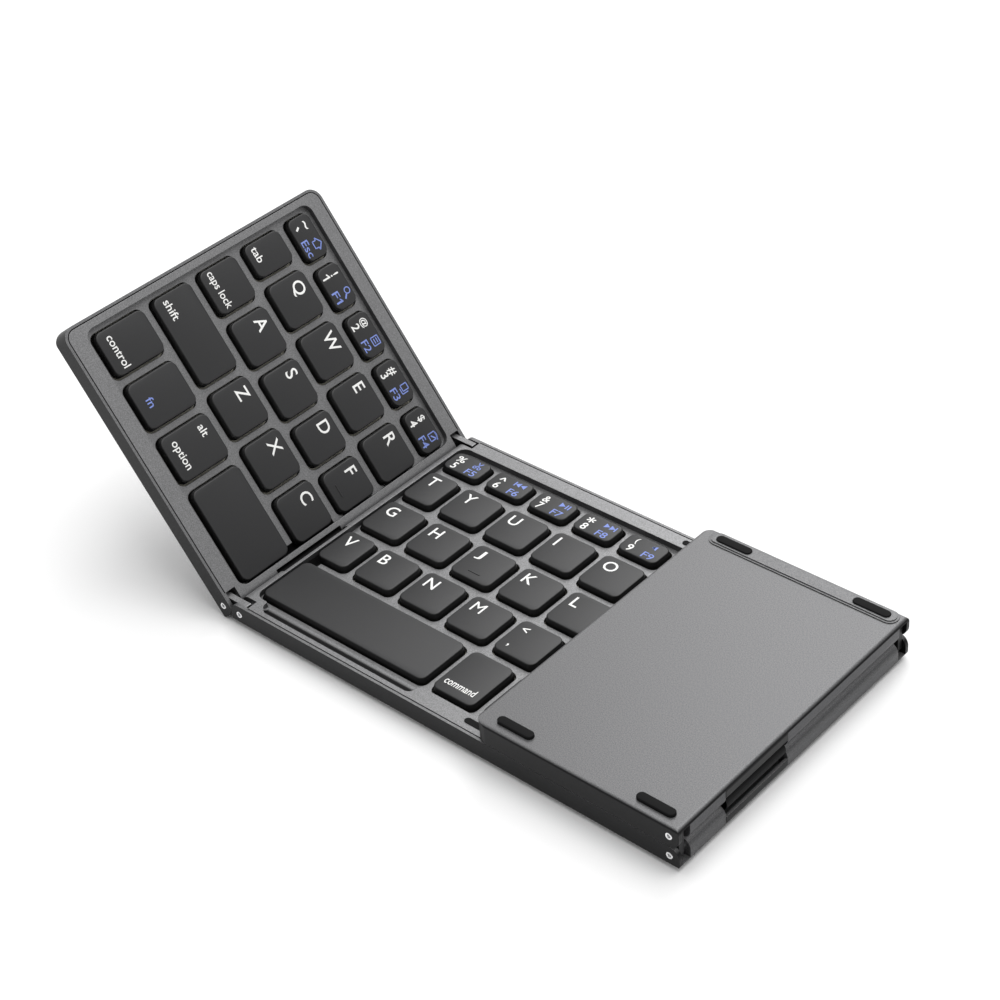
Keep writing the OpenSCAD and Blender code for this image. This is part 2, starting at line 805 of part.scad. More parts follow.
module right_case() {
    color("#58595b") at_right()
        shell(-ear_r, right_len, true, false, right_feet_x, side_bar(right_len), 0);
}

module right_deck() {
    color("#707173") at_right() difference() {
        deck_form(-ear_r, right_len, true, false, pad_z, strip_side);
        translate([0, 0, pad_z - 1]) linear_extrude(panel_t)
            round_rect(pad_x - pad_l / 2, pad_x + pad_l / 2, -pad_w / 2, pad_w / 2,
                key_r, key_r, key_r, key_r);
    }
}

module touchpad() {
    l = pad_l / 2 - pad_gap;
    w = pad_w / 2 - pad_gap;
    color("#2a2a2b") at_right() translate([pad_x, 0, pad_z]) difference() {
        linear_extrude(pad_t) round_rect(-l, l, -w, w, key_r, key_r, key_r, key_r);
        translate([-l / 2 - l / 4, -w + rim_front * 2, pad_t - pad_gap])
            cube([l * 3 / 2, pad_gap, 1]);
    }
}

module touchpad_board() {
    color("#1f5b35") at_right()
        box(pad_x - pad_l / 2 - 1, pad_x + pad_l / 2 + 1, -pad_w / 2 - 1, pad_w / 2 + 1,
            pad_z - pad_board_t, pad_z);
}

module battery() {
    color("#8f9296") at_right()
        translate([pad_x, 0, floor_t]) linear_extrude(battery_t)
            round_rect(-battery_l / 2, battery_l / 2, -battery_w / 2, battery_w / 2,
                1, 1, 1, 1);
}

module right_feet() {
    color("#1c1c1c") at_right() feet(right_feet_x);
}

module right_hinge_pins() {
    at_right() pin_pair();
}

// ---- Links and ribbon cables ----

module left_links() {
    translate([-hinge_x, 0, 0]) mirror([1, 0, 0]) link_pair();
}

module right_links() {
    translate([hinge_x, 0, pin_h])
        rotate([0, -90, 0])
            translate([0, 0, -pin_h])
                link_pair();
}

// Strip of cable along a path, with mitred bends
function ahead(a, b) = (b - a) / norm(b - a);
function side(a, b) = [-ahead(a, b)[1], ahead(a, b)[0]];
function both(p, i) = side(p[max(0, i - 1)], p[max(1, i)])
    + side(p[min(len(p) - 2, i)], p[min(len(p) - 1, i + 1)]);
function miter(p, i) = both(p, i) * ribbon_t / (both(p, i) * both(p, i));

module cable(p) {
    n = len(p) - 1;
    color("#202022")
        along_y(ribbon_y0 + ribbon_side, ribbon_y1 - ribbon_side)
            polygon(concat([for (i = [0:n]) p[i] + miter(p, i)],
                [for (i = [n:-1:0]) p[i] - miter(p, i)]));
}

// The left cable runs flat across the link, and dives under the keys on both sides
module left_ribbon_cable() {
    bend = ribbon_up * tan(left_open / 2);
    far = ribbon_dive_left + bend;
    steep = atan2(ribbon_up + ribbon_down, far);
    corner = [-link_c + bend, ribbon_up];
    dive = corner + norm([far, ribbon_up + ribbon_down])
        * [-cos(left_open - steep), sin(left_open - steep)];
    translate([-hinge_x, 0, pin_h])
        cable([[ribbon_in, -ribbon_down], [ribbon_dive, -ribbon_down],
            [-ribbon_dive * 3, ribbon_up], corner, dive,
            dive + (ribbon_in - ribbon_dive_left) * [-cos(left_open), sin(left_open)]]);
}

// The right cable bows out of the closed fold and back into the right panel
module right_ribbon_cable() {
    r = link_c / 2 - bend_up;
    translate([hinge_x, 0, pin_h + link_c / 2])
        cable(concat(
            [[-ribbon_in, -link_c / 2 - ribbon_down], [-ribbon_dive, -link_c / 2 - ribbon_down]],
            [for (a = [-90:15:90]) [bend_out + r * cos(a), r * sin(a)]],
            [[-ribbon_dive, link_c / 2 + ribbon_down], [-ribbon_in, link_c / 2 + ribbon_down]]));
}

// ---- Keys ----

module left_keys(r, i0, i1) {
    at_left() keys(left_rows, left_span, r, i0, i1);
}

module mid_keys(r, i0, i1) {
    keys(mid_rows, mid_span, r, i0, i1);
}

mid_case();
mid_deck();
mid_plate();
mid_membrane();
mid_domes();
mid_board();
usb_socket();
power_switch();
mid_feet();
mid_bumpers();
mid_hinge_pins();
left_case();
left_deck();
left_plate();
left_membrane();
left_domes();
left_feet();
left_hinge_pins();
right_case();
right_deck();
touchpad();
touchpad_board();
battery();
right_feet();
right_hinge_pins();
left_links();
left_ribbon_cable();
right_links();
right_ribbon_cable();

// Left keys, by row and by place from the hinge
left_keys(0, 0, 3);  // left_number_keys
left_keys(0, 4, 4);  // esc_key
left_keys(1, 0, 3);  // left_top_letter_keys
left_keys(1, 4, 4);  // tab_key
left_keys(2, 0, 3);  // left_home_letter_keys
left_keys(2, 4, 4);  // caps_lock_key
left_keys(3, 0, 2);  // left_low_letter_keys
left_keys(3, 3, 3);  // left_shift_key
left_keys(4, 0, 0);  // left_space_key
left_keys(4, 1, 1);  // alt_key
left_keys(4, 2, 2);  // fn_key
left_keys(4, 3, 3);  // control_key

// Middle keys, by row and by place from the left
mid_keys(0, 0, 7);  // mid_number_keys
mid_keys(0, 8, 8);  // backspace_key
mid_keys(1, 0, 7);  // mid_top_letter_keys
mid_keys(1, 8, 8);  // backslash_key
mid_keys(2, 0, 6);  // mid_home_letter_keys
mid_keys(2, 7, 7);  // enter_key
mid_keys(3, 0, 6);  // mid_low_letter_keys
mid_keys(3, 7, 7);  // up_arrow_key
mid_keys(3, 8, 8);  // right_shift_key
mid_keys(4, 0, 0);  // mid_space_key
mid_keys(4, 1, 1);  // command_key
mid_keys(4, 2, 2);  // right_control_key
mid_keys(4, 3, 3);  // left_arrow_key
mid_keys(4, 4, 4);  // down_arrow_key
mid_keys(4, 5, 5);  // right_arrow_key
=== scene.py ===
# %% [markdown]
# # A folding keyboard, dressed
# The keyboard comes from the CAD model as a frame of exact solids. This lesson
# keeps the shells, which are right as they are, cuts copies of two decks a little
# closer to the photograph, and gives them all real finishes, with painted shade
# added on walls, hinge barrels, key sides and the thumb trough. It makes anew what
# the eye rests on: soft-edged key caps with their printed legends, rubber feet
# and bright hinge pins.

import math

import bmesh
import bpy
from mathutils import Matrix, Vector


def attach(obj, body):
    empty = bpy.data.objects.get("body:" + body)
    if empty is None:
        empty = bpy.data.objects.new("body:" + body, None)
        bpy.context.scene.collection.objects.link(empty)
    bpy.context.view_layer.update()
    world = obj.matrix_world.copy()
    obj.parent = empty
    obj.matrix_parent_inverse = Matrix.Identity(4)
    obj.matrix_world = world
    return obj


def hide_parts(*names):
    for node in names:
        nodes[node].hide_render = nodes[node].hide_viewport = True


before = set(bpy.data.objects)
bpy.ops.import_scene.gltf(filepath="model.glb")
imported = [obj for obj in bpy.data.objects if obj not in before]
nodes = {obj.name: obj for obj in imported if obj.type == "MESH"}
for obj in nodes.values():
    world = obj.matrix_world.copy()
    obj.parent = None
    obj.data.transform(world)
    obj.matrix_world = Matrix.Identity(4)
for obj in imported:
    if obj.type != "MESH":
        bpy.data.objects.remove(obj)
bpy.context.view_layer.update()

# %% [markdown]
# ## Sizes
# The part's source gives its sizes in millimetres, and Blender works in metres.
# All sizes here are written in millimetres too, and one factor turns them at
# the last moment, so that the two files are easy to compare.

# %% Sizes shared with the part's source
MM = 0.001
DEPTH = 96.9
HALF_D = DEPTH / 2
HINGE_X = 74.2
PANEL_T = 6.2
PIN_H = PANEL_T / 2
FOLD_GAP = 0.2
LINK_C = PANEL_T + FOLD_GAP
LEFT_LEN = 86.2
RIGHT_LEN = 61.8
LEFT_OPEN = math.radians(53)
PAN_DEEP = 1.9
PAN_Z = PANEL_T - PAN_DEEP
PAN_REAR = HALF_D - 5.4
PAN_FRONT = -HALF_D + 6.2
KEY_TOP = PANEL_T - 0.15
KEY_FOOT = PAN_Z - 0.9
DRAFT = 0.25
ROW_GAP = 3.6
KEY_GAP = 3.1
KEY_D = 13.75
NUMBER_D = 8.2
PAN_MARGIN = 2.0
KEYS_REAR = PAN_REAR - PAN_MARGIN
KEYS_FRONT = PAN_FRONT + PAN_MARGIN

# %% [markdown]
# ## Where each panel lies
# Keys and feet are modelled on a flat panel, where x runs to the right for the
# reader of the keys. One matrix a panel then carries them to their real place:
# the left panel is turned up about its pin, and the right one is turned over.

# %% Panel places
def shift(x, y, z):
    return Matrix.Translation((x, y, z))

MIDDLE = Matrix.Identity(4)
LEFT = (shift(-HINGE_X - LINK_C, 0, PIN_H) @ Matrix.Rotation(LEFT_OPEN, 4, "Y")
        @ shift(0, 0, -PIN_H))
RIGHT = (shift(HINGE_X, 0, PIN_H + LINK_C) @ Matrix.Rotation(-math.pi, 4, "Y")
         @ shift(0, 0, -PIN_H))
METRES = Matrix.Scale(MM, 4)
print("left panel's outer end in mm:",
      [round(v, 1) for v in LEFT @ Vector((-LEFT_LEN, 0, PANEL_T))])

# %% [markdown]
# ## Building materials from nodes
# A material is a small graph. One helper adds any node with its settings and
# its incoming links, and another turns a hex colour, as a colour picker shows
# it, into the linear numbers that a renderer works with.

# %% Material helpers
def linear(code):
    parts = [int(code[i:i + 2], 16) / 255 for i in (1, 3, 5)]
    return [c / 12.92 if c <= 0.04045 else ((c + 0.055) / 1.055) ** 2.4
            for c in parts] + [1]

def add(tree, kind, settings={}, links={}):
    made = tree.nodes.new(kind)
    for name, value in settings.items():
        if name in made.inputs:
            made.inputs[name].default_value = value
        else:
            setattr(made, name, value)
    for name, source in links.items():
        tree.links.new(source, made.inputs[name])
    return made

def new_material(name):
    material = bpy.data.materials.new(name)
    material.use_nodes = True
    material.node_tree.nodes.clear()
    return material, material.node_tree

def close_material(tree, shader):
    add(tree, "ShaderNodeOutputMaterial", {}, {"Surface": shader.outputs["BSDF"]})

def grain(tree, size_mm):
    """Noise whose grains are size_mm across, on the piece's own coordinates."""
    where = add(tree, "ShaderNodeTexCoord")
    return add(tree, "ShaderNodeTexNoise",
               {"Scale": 1 / (size_mm * MM), "Detail": 2, "Roughness": 0.6},
               {"Vector": where.outputs["Object"]})

def soft_edges(tree, radius_mm):
    """Rounds sharp edges in the shading, as a tumbled or painted edge is."""
    return add(tree, "ShaderNodeBevel", {"samples": 6, "Radius": radius_mm * MM})

# %% [markdown]
# ## A finish with painted shade on its sides
# Shell and deck are sprayed with a satin grey lacquer with fine metal flakes.
# Walls and hinge barrels are given a darker colour than the flat faces, as
# painted shade. The key caps are the same in small: matt tops, and sides painted
# all but black as painted shade. So one recipe mixes two colours by how far a
# face looks along its panel's own up direction, from the painted shade colour
# below the first number of turn to the flat colour above the second. A noise of
# the grain's size varies the colour slightly, and the same noise drives the bump.

# %% Recipe for a finish with painted shade on its sides
NOISE_LOW, NOISE_HIGH = 0.3, 0.7
FLAKE_RELIEF, GRAIN_RELIEF = 0.03, 0.02

def shaded_side_finish(name, flat, side, up, roughness, metallic, grain_mm, tone, bump, edge_mm,
             both_sides=True, turn=(0.55, 0.97), gloss=0.5):
    material, tree = new_material(name)
    texture = grain(tree, grain_mm)
    tint = add(tree, "ShaderNodeMapRange",
               {"From Min": NOISE_LOW, "From Max": NOISE_HIGH,
                "To Min": 1 - tone, "To Max": 1 + tone},
               {"Value": texture.outputs["Fac"]})
    where = add(tree, "ShaderNodeTexCoord")
    facing = add(tree, "ShaderNodeVectorMath", {"operation": "DOT_PRODUCT"},
                 {0: where.outputs["Normal"]})
    facing.inputs[1].default_value = up
    level = add(tree, "ShaderNodeMath",
                {"operation": "ABSOLUTE" if both_sides else "MAXIMUM"},
                {0: facing.outputs["Value"]})
    level.inputs[1].default_value = 0.0
    # Faces turned away from up get the side colour, which is painted shade
    side_shade_mix = add(tree, "ShaderNodeMapRange",
                   {"From Min": turn[0], "From Max": turn[1],
                    "interpolation_type": "SMOOTHSTEP"}, {"Value": level.outputs[0]})
    colour = add(tree, "ShaderNodeMix",
                 {"data_type": "RGBA"}, {"Factor": side_shade_mix.outputs["Result"]})
    colour.inputs[6].default_value = linear(side)
    colour.inputs[7].default_value = linear(flat)
    flecked = add(tree, "ShaderNodeVectorMath", {"operation": "SCALE"},
                  {0: colour.outputs[2], "Scale": tint.outputs["Result"]})
    edge = soft_edges(tree, edge_mm)
    relief = add(tree, "ShaderNodeBump", {"Strength": bump, "Distance": FLAKE_RELIEF * MM},
                 {"Height": texture.outputs["Fac"], "Normal": edge.outputs["Normal"]})
    shader = add(tree, "ShaderNodeBsdfPrincipled",
                 {"Metallic": metallic, "Roughness": roughness, "Specular IOR Level": gloss},
                 {"Base Color": flecked.outputs[0], "Normal": relief.outputs["Normal"]})
    close_material(tree, shader)
    return material

# %% Satin metallic lacquer, lighter on the decks than on the shells, with painted shade on walls and barrels
LACQUER = {"roughness": 0.4, "metallic": 0.55, "grain_mm": 0.3, "tone": 0.3, "bump": 0.16,
           "gloss": 0.25}

# Each lacquer gets painted shade on the faces that turn away from its up direction
def lacquer(name, flat, side, up, edge_mm=0.15, **more):
    return shaded_side_finish(name, flat, side, up, edge_mm=edge_mm, **LACQUER, **more)

UP = (0.0, 0.0, 1.0)
LEFT_UP = tuple(LEFT.to_3x3() @ Vector(UP))
OUTWARD = (-1.0, 0.0, 0.0)
# Side colours, here and in the table below, are painted shade for walls, hinge barrels and link
# sides
SIDE_SHADE_GREY, BARREL_SHADE_GREY = "#161617", "#565657"
LINK_FLAT, LINK_SIDE_SHADE, TROUGH_FLAT = "#8c8c8d", "#1c1c1d", "#8a8a8b"
lacquers_with_side_shade = {
    "mid_case": lacquer("lacquer_middle_shell", "#7c7c7d", SIDE_SHADE_GREY, UP),
    "left_case": lacquer("lacquer_left_shell", "#7c7c7d", SIDE_SHADE_GREY, LEFT_UP),
    "right_case": lacquer("lacquer_right_shell", "#6c6c6d", SIDE_SHADE_GREY, UP),
    "mid_deck": lacquer("lacquer_middle_deck", "#888889", BARREL_SHADE_GREY, UP),
    "left_deck": lacquer("lacquer_left_deck", "#888889", BARREL_SHADE_GREY, LEFT_UP),
    "right_deck": lacquer("lacquer_right_deck", "#929293", "#48484a", UP),
    # Links are light only on faces along their given direction; all their other faces get painted
    # shade
    "left_links": lacquer("lacquer_left_links", LINK_FLAT, LINK_SIDE_SHADE, UP, both_sides=False),
    "right_links": lacquer("lacquer_right_links", LINK_FLAT, LINK_SIDE_SHADE, OUTWARD,
                           both_sides=False),
}

# The trough's curved floor gets painted shade early, from where it begins to turn up to the lip,
# and its end walls a lighter painted shade
trough_painted_shade = lacquer("lacquer_thumb_trough_painted_shade", TROUGH_FLAT, "#0b0b0c", UP, edge_mm=0.1,
                         turn=(0.93, 0.9999))
trough_end_painted_shade = lacquer("lacquer_trough_ends_painted_shade", TROUGH_FLAT, "#59595a", UP, edge_mm=0.1)

# %% Key plastic with matt tops, and sides painted near black as painted shade
def cap_plastic_with_side_shade(name, top, up):
    # The near-black side colour is painted shade
    return shaded_side_finish(name, top, "#070707", up, roughness=0.45, metallic=0.0, grain_mm=0.22,
                    tone=0.06, bump=0.1, edge_mm=0.08, turn=(0.75, 0.99))

# The left caps' tops are a step darker than the middle's: painted shade for the tilted panel
caps_with_side_shade = {"left": cap_plastic_with_side_shade("abs_keycap_left", "#272728", LEFT_UP),
                "middle": cap_plastic_with_side_shade("abs_keycap_middle", "#282829", UP)}

# %% [markdown]
# ## Moulded and metal finishes
# The other finishes differ only in colour, gloss and the size of their grain,
# so one recipe makes them all: a fine noise for the moulded or rolled texture,
# a small change of tone, and softened edges.

# %% Recipe for a grained finish
def grained(name, code, roughness, grain_mm, bump=0.1, metallic=0.0, tone=0.08, edge_mm=0.1,
            gloss=0.5):
    material, tree = new_material(name)
    texture = grain(tree, grain_mm)
    tint = add(tree, "ShaderNodeMapRange", {"To Min": 1 - tone, "To Max": 1 + tone},
               {"Value": texture.outputs["Fac"]})
    base = add(tree, "ShaderNodeVectorMath", {"operation": "SCALE"},
               {"Scale": tint.outputs["Result"]})
    base.inputs[0].default_value = linear(code)[:3]
    edge = soft_edges(tree, edge_mm)
    relief = add(tree, "ShaderNodeBump", {"Strength": bump, "Distance": GRAIN_RELIEF * MM},
                 {"Height": texture.outputs["Fac"], "Normal": edge.outputs["Normal"]})
    shader = add(tree, "ShaderNodeBsdfPrincipled",
                 {"Metallic": metallic, "Roughness": roughness, "Specular IOR Level": gloss},
                 {"Base Color": base.outputs[0], "Normal": relief.outputs["Normal"]})
    close_material(tree, shader)
    return material

# %% The finishes
ink_white = grained("screen_printed_white", "#f4f4f2", 0.6, 0.2, 0.02, tone=0.02)
ink_blue = grained("screen_printed_blue", "#7f92d8", 0.6, 0.2, 0.02, tone=0.02)
rubber = grained("moulded_rubber", "#0b0b0c", 0.75, 0.3, 0.25, gloss=0.2)
chrome = grained("polished_steel", "#f4f4f5", 0.22, 0.6, 0.02, metallic=1.0, tone=0.02)
sheet_steel = grained("rolled_steel_sheet", "#b4b6b8", 0.4, 0.5, 0.05, metallic=1.0)
film = grained("printed_polyester_film", "#d8d5c6", 0.5, 0.8, 0.02)
silicone = grained("milky_silicone", "#dddddd", 0.55, 0.4, 0.05)
board_green = grained("solder_mask_green", "#1f5b35", 0.3, 0.5, 0.06)
socket_steel = grained("tinned_steel", "#c9cacc", 0.28, 0.3, 0.04, metallic=1.0)
black_abs = grained("abs_black", "#202021", 0.5, 0.25, 0.1)
pad_glass = grained("satin_touch_surface", "#2a2a2b", 0.32, 0.2, 0.05)
foil = grained("laminated_foil", "#8f9296", 0.35, 1.2, 0.12, metallic=0.7)
# The flex is black film, darkened further as painted shade for the hinge gap it fills
flex_and_gap_shade = grained("black_polyimide_film_gap_shade", "#070708", 0.6, 0.4, 0.05, gloss=0.15)

# %% Give every CAD node its finish
BY_END = {
    "_plate": sheet_steel, "_membrane": film, "_domes": silicone, "_feet": rubber,
    "_bumpers": rubber, "_pins": chrome, "_cable": flex_and_gap_shade, "_board": board_green,
    "_socket": socket_steel, "_switch": black_abs, "_key": caps_with_side_shade["middle"],
    "_keys": caps_with_side_shade["middle"],
}
BY_NAME = {"touchpad": pad_glass, "battery": foil, **lacquers_with_side_shade}
for name, obj in nodes.items():
    finish = BY_NAME.get(name) or next(f for end, f in BY_END.items() if name.endswith(end))
    obj.data.materials.clear()
    obj.data.materials.append(finish)

# %% [markdown]
# ## A place for new meshes
# A bmesh is Blender's mesh under construction. Each new piece is built in
# millimetres on a flat panel, carried to its place and turned into metres in
# one step, so its object can stay at the origin, as the CAD nodes do.

# %% Turn a bmesh into an object, and into a piece
def new_object(name, data):
    obj = bpy.data.objects.new(name, data)
    bpy.context.scene.collection.objects.link(obj)
    return obj

def mesh_object(name, bm):
    mesh = bpy.data.meshes.new(name)
    bm.to_mesh(mesh)
    bm.free()
    return new_object(name, mesh)

def add_piece(name, bm, place, finishes, body, replaced, sharp_deg):
    bmesh.ops.transform(bm, matrix=METRES @ place, verts=bm.verts)
    obj = mesh_object(name, bm)
    for finish in finishes:
        obj.data.materials.append(finish)
    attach(obj, body)
    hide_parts(*replaced)
    obj.data.set_sharp_from_angle(angle=math.radians(sharp_deg))

def smooth_all(bm):
    for face in bm.faces:
        face.smooth = True

def edges_of(verts):
    """Each edge of these vertices once, in the mesh's own order."""
    return list(dict.fromkeys(e for v in verts for e in v.link_edges))

# %% [markdown]
# ## One key cap
# A real cap is a small box with rounded corners, sides that lean in a little
# for the mould, and a softly rounded top edge that catches the light. A cube
# is scaled, its top is drawn in, and two bevels do the rest: a wide one on the
# four upright edges, then a narrow one round the top.

# %% Key cap from a cube and two bevels
CORNER_R = 2.2
TOP_R = 0.4
BEVEL = {"offset_type": "OFFSET", "affect": "EDGES", "profile": 0.5, "material": -1}

def key_cap(bm, x, width, y_top, deep):
    low, high = KEY_FOOT, KEY_TOP
    made = bmesh.ops.create_cube(bm, size=1)["verts"]
    centre = Vector((x + width / 2, y_top - deep / 2, (low + high) / 2))
    bmesh.ops.scale(bm, vec=(width + 2 * DRAFT, deep + 2 * DRAFT, high - low), verts=made)
    top = [v for v in made if v.co.z > 0]
    drawn_in = (width / (width + 2 * DRAFT), deep / (deep + 2 * DRAFT), 1)
    bmesh.ops.scale(bm, vec=drawn_in, verts=top)
    bmesh.ops.translate(bm, vec=centre, verts=made)
    upright = [e for e in edges_of(made) if abs(e.verts[0].co.z - e.verts[1].co.z) > 0.1]
    bmesh.ops.bevel(bm, geom=upright, offset=CORNER_R, segments=7, **BEVEL)
    rim = [e for e in bm.edges if e.is_valid and all(abs(v.co.z - high) < 1e-4 for v in e.verts)
           and any(f.normal.z < 0.7 for f in e.link_faces)
           and x - 1 < e.verts[0].co.x < x + width + 1
           and y_top - deep - 1 < e.verts[0].co.y < y_top + 1]
    bmesh.ops.bevel(bm, geom=rim, offset=TOP_R, segments=4, **BEVEL)

# %% [markdown]
# ## Printed legends
# The letters are ink, too thin to feel. Blender's own font is made into a
# flat mesh, measured by its capital H, and laid a hair above the cap. Small
# signs, such as a magnifier, are put together from bars, rings and triangles.

# %% Words as flat meshes
INK_LIFT = 0.03

def text_mesh(words, bold):
    curve = bpy.data.curves.new("ink_text", "FONT")
    curve.body = words
    curve.offset = bold
    curve.resolution_u = 4
    obj = new_object("ink_text", curve)
    bpy.context.view_layer.update()
    depsgraph = bpy.context.evaluated_depsgraph_get()
    mesh = bpy.data.meshes.new_from_object(obj.evaluated_get(depsgraph))
    bpy.data.objects.remove(obj)
    bpy.data.curves.remove(curve)
    return mesh

def spans(mesh):
    xs = [v.co.x for v in mesh.vertices]
    ys = [v.co.y for v in mesh.vertices]
    return min(xs), max(xs), min(ys), max(ys)

probe = text_mesh("H", 0.0)
CAP_UNIT = spans(probe)[3] - spans(probe)[2]
bpy.data.meshes.remove(probe)
print("capital height of one font unit:", round(CAP_UNIT, 3))

def print_words(bm, words, x, y, cap, ink, bold, align=0.0, wide=None, fit=False):
    """Prints words with their baseline at y and x at their left, middle or right.
    If wide is given, they are drawn in or out to that width, and with fit they
    fill the cap height from the baseline up."""
    mesh = text_mesh(words, bold)
    x0, x1, y0, y1 = spans(mesh)
    high = cap / (y1 - y0) if fit else cap / CAP_UNIT
    across = wide / (x1 - x0) if wide else high
    place = (shift(x, y, KEY_TOP + INK_LIFT) @ Matrix.Diagonal((across, high, 1, 1))
             @ shift(-(x0 + (x1 - x0) * align), -y0 if fit else 0, 0))
    mesh.transform(place)
    older = set(bm.faces)
    bm.from_mesh(mesh)
    for face in [f for f in bm.faces if f not in older]:
        face.material_index = ink
        if face.normal.z < 0:
            face.normal_flip()
    bpy.data.meshes.remove(mesh)
    for i in [i for i, c in enumerate(words) if c == "1"]:
        part = text_mesh(words[:i + 1], bold)
        right = place @ Vector((spans(part)[1], 0, 0))
        bpy.data.meshes.remove(part)
        flag_of_one(bm, right.x, y + cap, cap, ink)

def flag_of_one(bm, right, top, cap, ink):
    """The font's figure one is a plain stroke; this adds the flag at its top left."""
    stroke = 0.19 * cap
    bar(bm, right - stroke, top - 0.1 * cap, right - 0.5 * cap, top - 0.3 * cap, stroke * 0.8, ink)

# %% Bars, rings and triangles for small signs
def stamp(bm, verts, ink, x, y):
    bmesh.ops.translate(bm, vec=(x, y, KEY_TOP + INK_LIFT), verts=verts)
    for face in {f for v in verts for f in v.link_faces}:
        face.material_index = ink
        face.normal_update()
        if face.normal.z < 0:
            face.normal_flip()

def bar(bm, x0, y0, x1, y1, wide, ink):
    made = bmesh.ops.create_grid(bm, x_segments=1, y_segments=1, size=0.5)["verts"]
    long = math.hypot(x1 - x0, y1 - y0)
    bmesh.ops.scale(bm, vec=(long, wide, 1), verts=made)
    bmesh.ops.rotate(bm, matrix=Matrix.Rotation(math.atan2(y1 - y0, x1 - x0), 3, "Z"), verts=made)
    stamp(bm, made, ink, (x0 + x1) / 2, (y0 + y1) / 2)

def triangle(bm, x, y, r, ink, turn):
    made = bmesh.ops.create_circle(bm, cap_ends=True, segments=3, radius=r)["verts"]
    bmesh.ops.rotate(bm, matrix=Matrix.Rotation(turn, 3, "Z"), verts=made)
    stamp(bm, made, ink, x, y)

def ring(bm, x, y, r, wide, ink):
    inner = bmesh.ops.create_circle(bm, segments=20, radius=r - wide / 2)
    outer = bmesh.ops.extrude_edge_only(bm, edges=edges_of(inner["verts"]))["geom"]
    grown = [g for g in outer if isinstance(g, bmesh.types.BMVert)]
    k = (r + wide / 2) / (r - wide / 2)
    bmesh.ops.scale(bm, vec=(k, k, 1), verts=grown)
    stamp(bm, inner["verts"] + grown, ink, x, y)

# %% [markdown]
# ## Small signs of the function row
# Every number key carries a second job in blue. Each sign is drawn round its
# centre from the strokes above, and is three to four millimetres wide.

# %% Signs
STROKE = 0.32
TRI_RIGHT, TRI_LEFT, TRI_UP, TRI_DOWN = -math.pi / 2, math.pi / 2, 0.0, math.pi

def frame_sign(bm, x, y, w, h, ink):
    for s in (-1, 1):
        bar(bm, x - w / 2, y + s * h / 2, x + w / 2, y + s * h / 2, STROKE, ink)
        bar(bm, x + s * w / 2, y - h / 2, x + s * w / 2, y + h / 2, STROKE, ink)

def home_sign(bm, x, y, ink):
    for s in (-1, 1):
        bar(bm, x + s * 1.9, y - 0.1, x, y + 1.5, STROKE, ink)
        bar(bm, x + s * 1.9, y - 0.1, x + s * 1.1, y - 0.1, STROKE, ink)
        bar(bm, x + s * 1.1, y - 0.1, x + s * 1.1, y - 1.4, STROKE, ink)
    bar(bm, x - 1.1, y - 1.4, x + 1.1, y - 1.4, STROKE, ink)

def search_sign(bm, x, y, ink):
    ring(bm, x - 0.5, y + 0.5, 0.95, STROKE, ink)
    bar(bm, x + 0.2, y - 0.2, x + 1.5, y - 1.4, STROKE * 1.6, ink)

def select_sign(bm, x, y, ink):
    frame_sign(bm, x, y, 2.6, 2.6, ink)
    bar(bm, x - 0.8, y + 0.5, x + 0.8, y + 0.5, STROKE, ink)
    bar(bm, x - 0.8, y - 0.4, x + 0.8, y - 0.4, STROKE, ink)

def copy_sign(bm, x, y, ink):
    frame_sign(bm, x - 0.4, y + 0.3, 1.9, 2.3, ink)
    bar(bm, x + 1.2, y + 0.8, x + 1.2, y - 1.5, STROKE, ink)
    bar(bm, x - 0.7, y - 1.5, x + 1.2, y - 1.5, STROKE, ink)

def paste_sign(bm, x, y, ink):
    frame_sign(bm, x, y - 0.1, 2.3, 2.6, ink)
    bar(bm, x - 0.6, y + 1.3, x + 0.6, y + 1.3, STROKE * 1.8, ink)
    bar(bm, x - 0.4, y - 0.6, x + 1.6, y + 1.1, STROKE * 1.4, ink)

def cut_sign(bm, x, y, ink):
    for s in (-1, 1):
        ring(bm, x + s * 0.8, y - 1.0, 0.5, STROKE, ink)
        bar(bm, x + s * 0.5, y - 0.6, x - s * 0.8, y + 1.5, STROKE, ink)

def skip_back_sign(bm, x, y, ink):
    bar(bm, x - 2.1, y - 1.0, x - 2.1, y + 1.0, STROKE * 1.3, ink)
    for k in (-0.85, 1.05):
        triangle(bm, x + k, y, 1.15, ink, TRI_LEFT)

def skip_on_sign(bm, x, y, ink):
    bar(bm, x + 2.1, y - 1.0, x + 2.1, y + 1.0, STROKE * 1.3, ink)
    for k in (-1.05, 0.85):
        triangle(bm, x + k, y, 1.15, ink, TRI_RIGHT)

def play_sign(bm, x, y, ink):
    triangle(bm, x - 1.0, y, 1.2, ink, TRI_RIGHT)
    for k in (0.7, 1.6):
        bar(bm, x + k, y - 1.0, x + k, y + 1.0, STROKE * 1.4, ink)

def speaker_sign(bm, x, y, ink, waves=0):
    triangle(bm, x - 0.2, y, 1.05, ink, TRI_LEFT)
    bar(bm, x - 0.95, y, x - 0.35, y, 0.8, ink)
    for k in range(waves):
        bar(bm, x + 0.9 + k * 0.6, y - 0.5 - k * 0.3, x + 0.9 + k * 0.6, y + 0.5 + k * 0.3,
            STROKE, ink)

def quiet_sign(bm, x, y, ink):
    speaker_sign(bm, x, y, ink, 1)

def loud_sign(bm, x, y, ink):
    speaker_sign(bm, x, y, ink, 2)

def lock_sign(bm, x, y, ink):
    bar(bm, x - 1.0, y - 0.6, x + 1.0, y - 0.6, 1.5, ink)
    ring(bm, x, y + 0.3, 0.75, STROKE, ink)

def arrow_sign(bm, x, y, ink, turn):
    triangle(bm, x, y, 1.35, ink, turn)

# %% [markdown]
# ## Rows of keys and what they say
# The rows follow the part's source, with widths counted from the hinge side. A
# legend is a list of marks, each with its place measured from the edges of the
# key's top, as on the real caps.

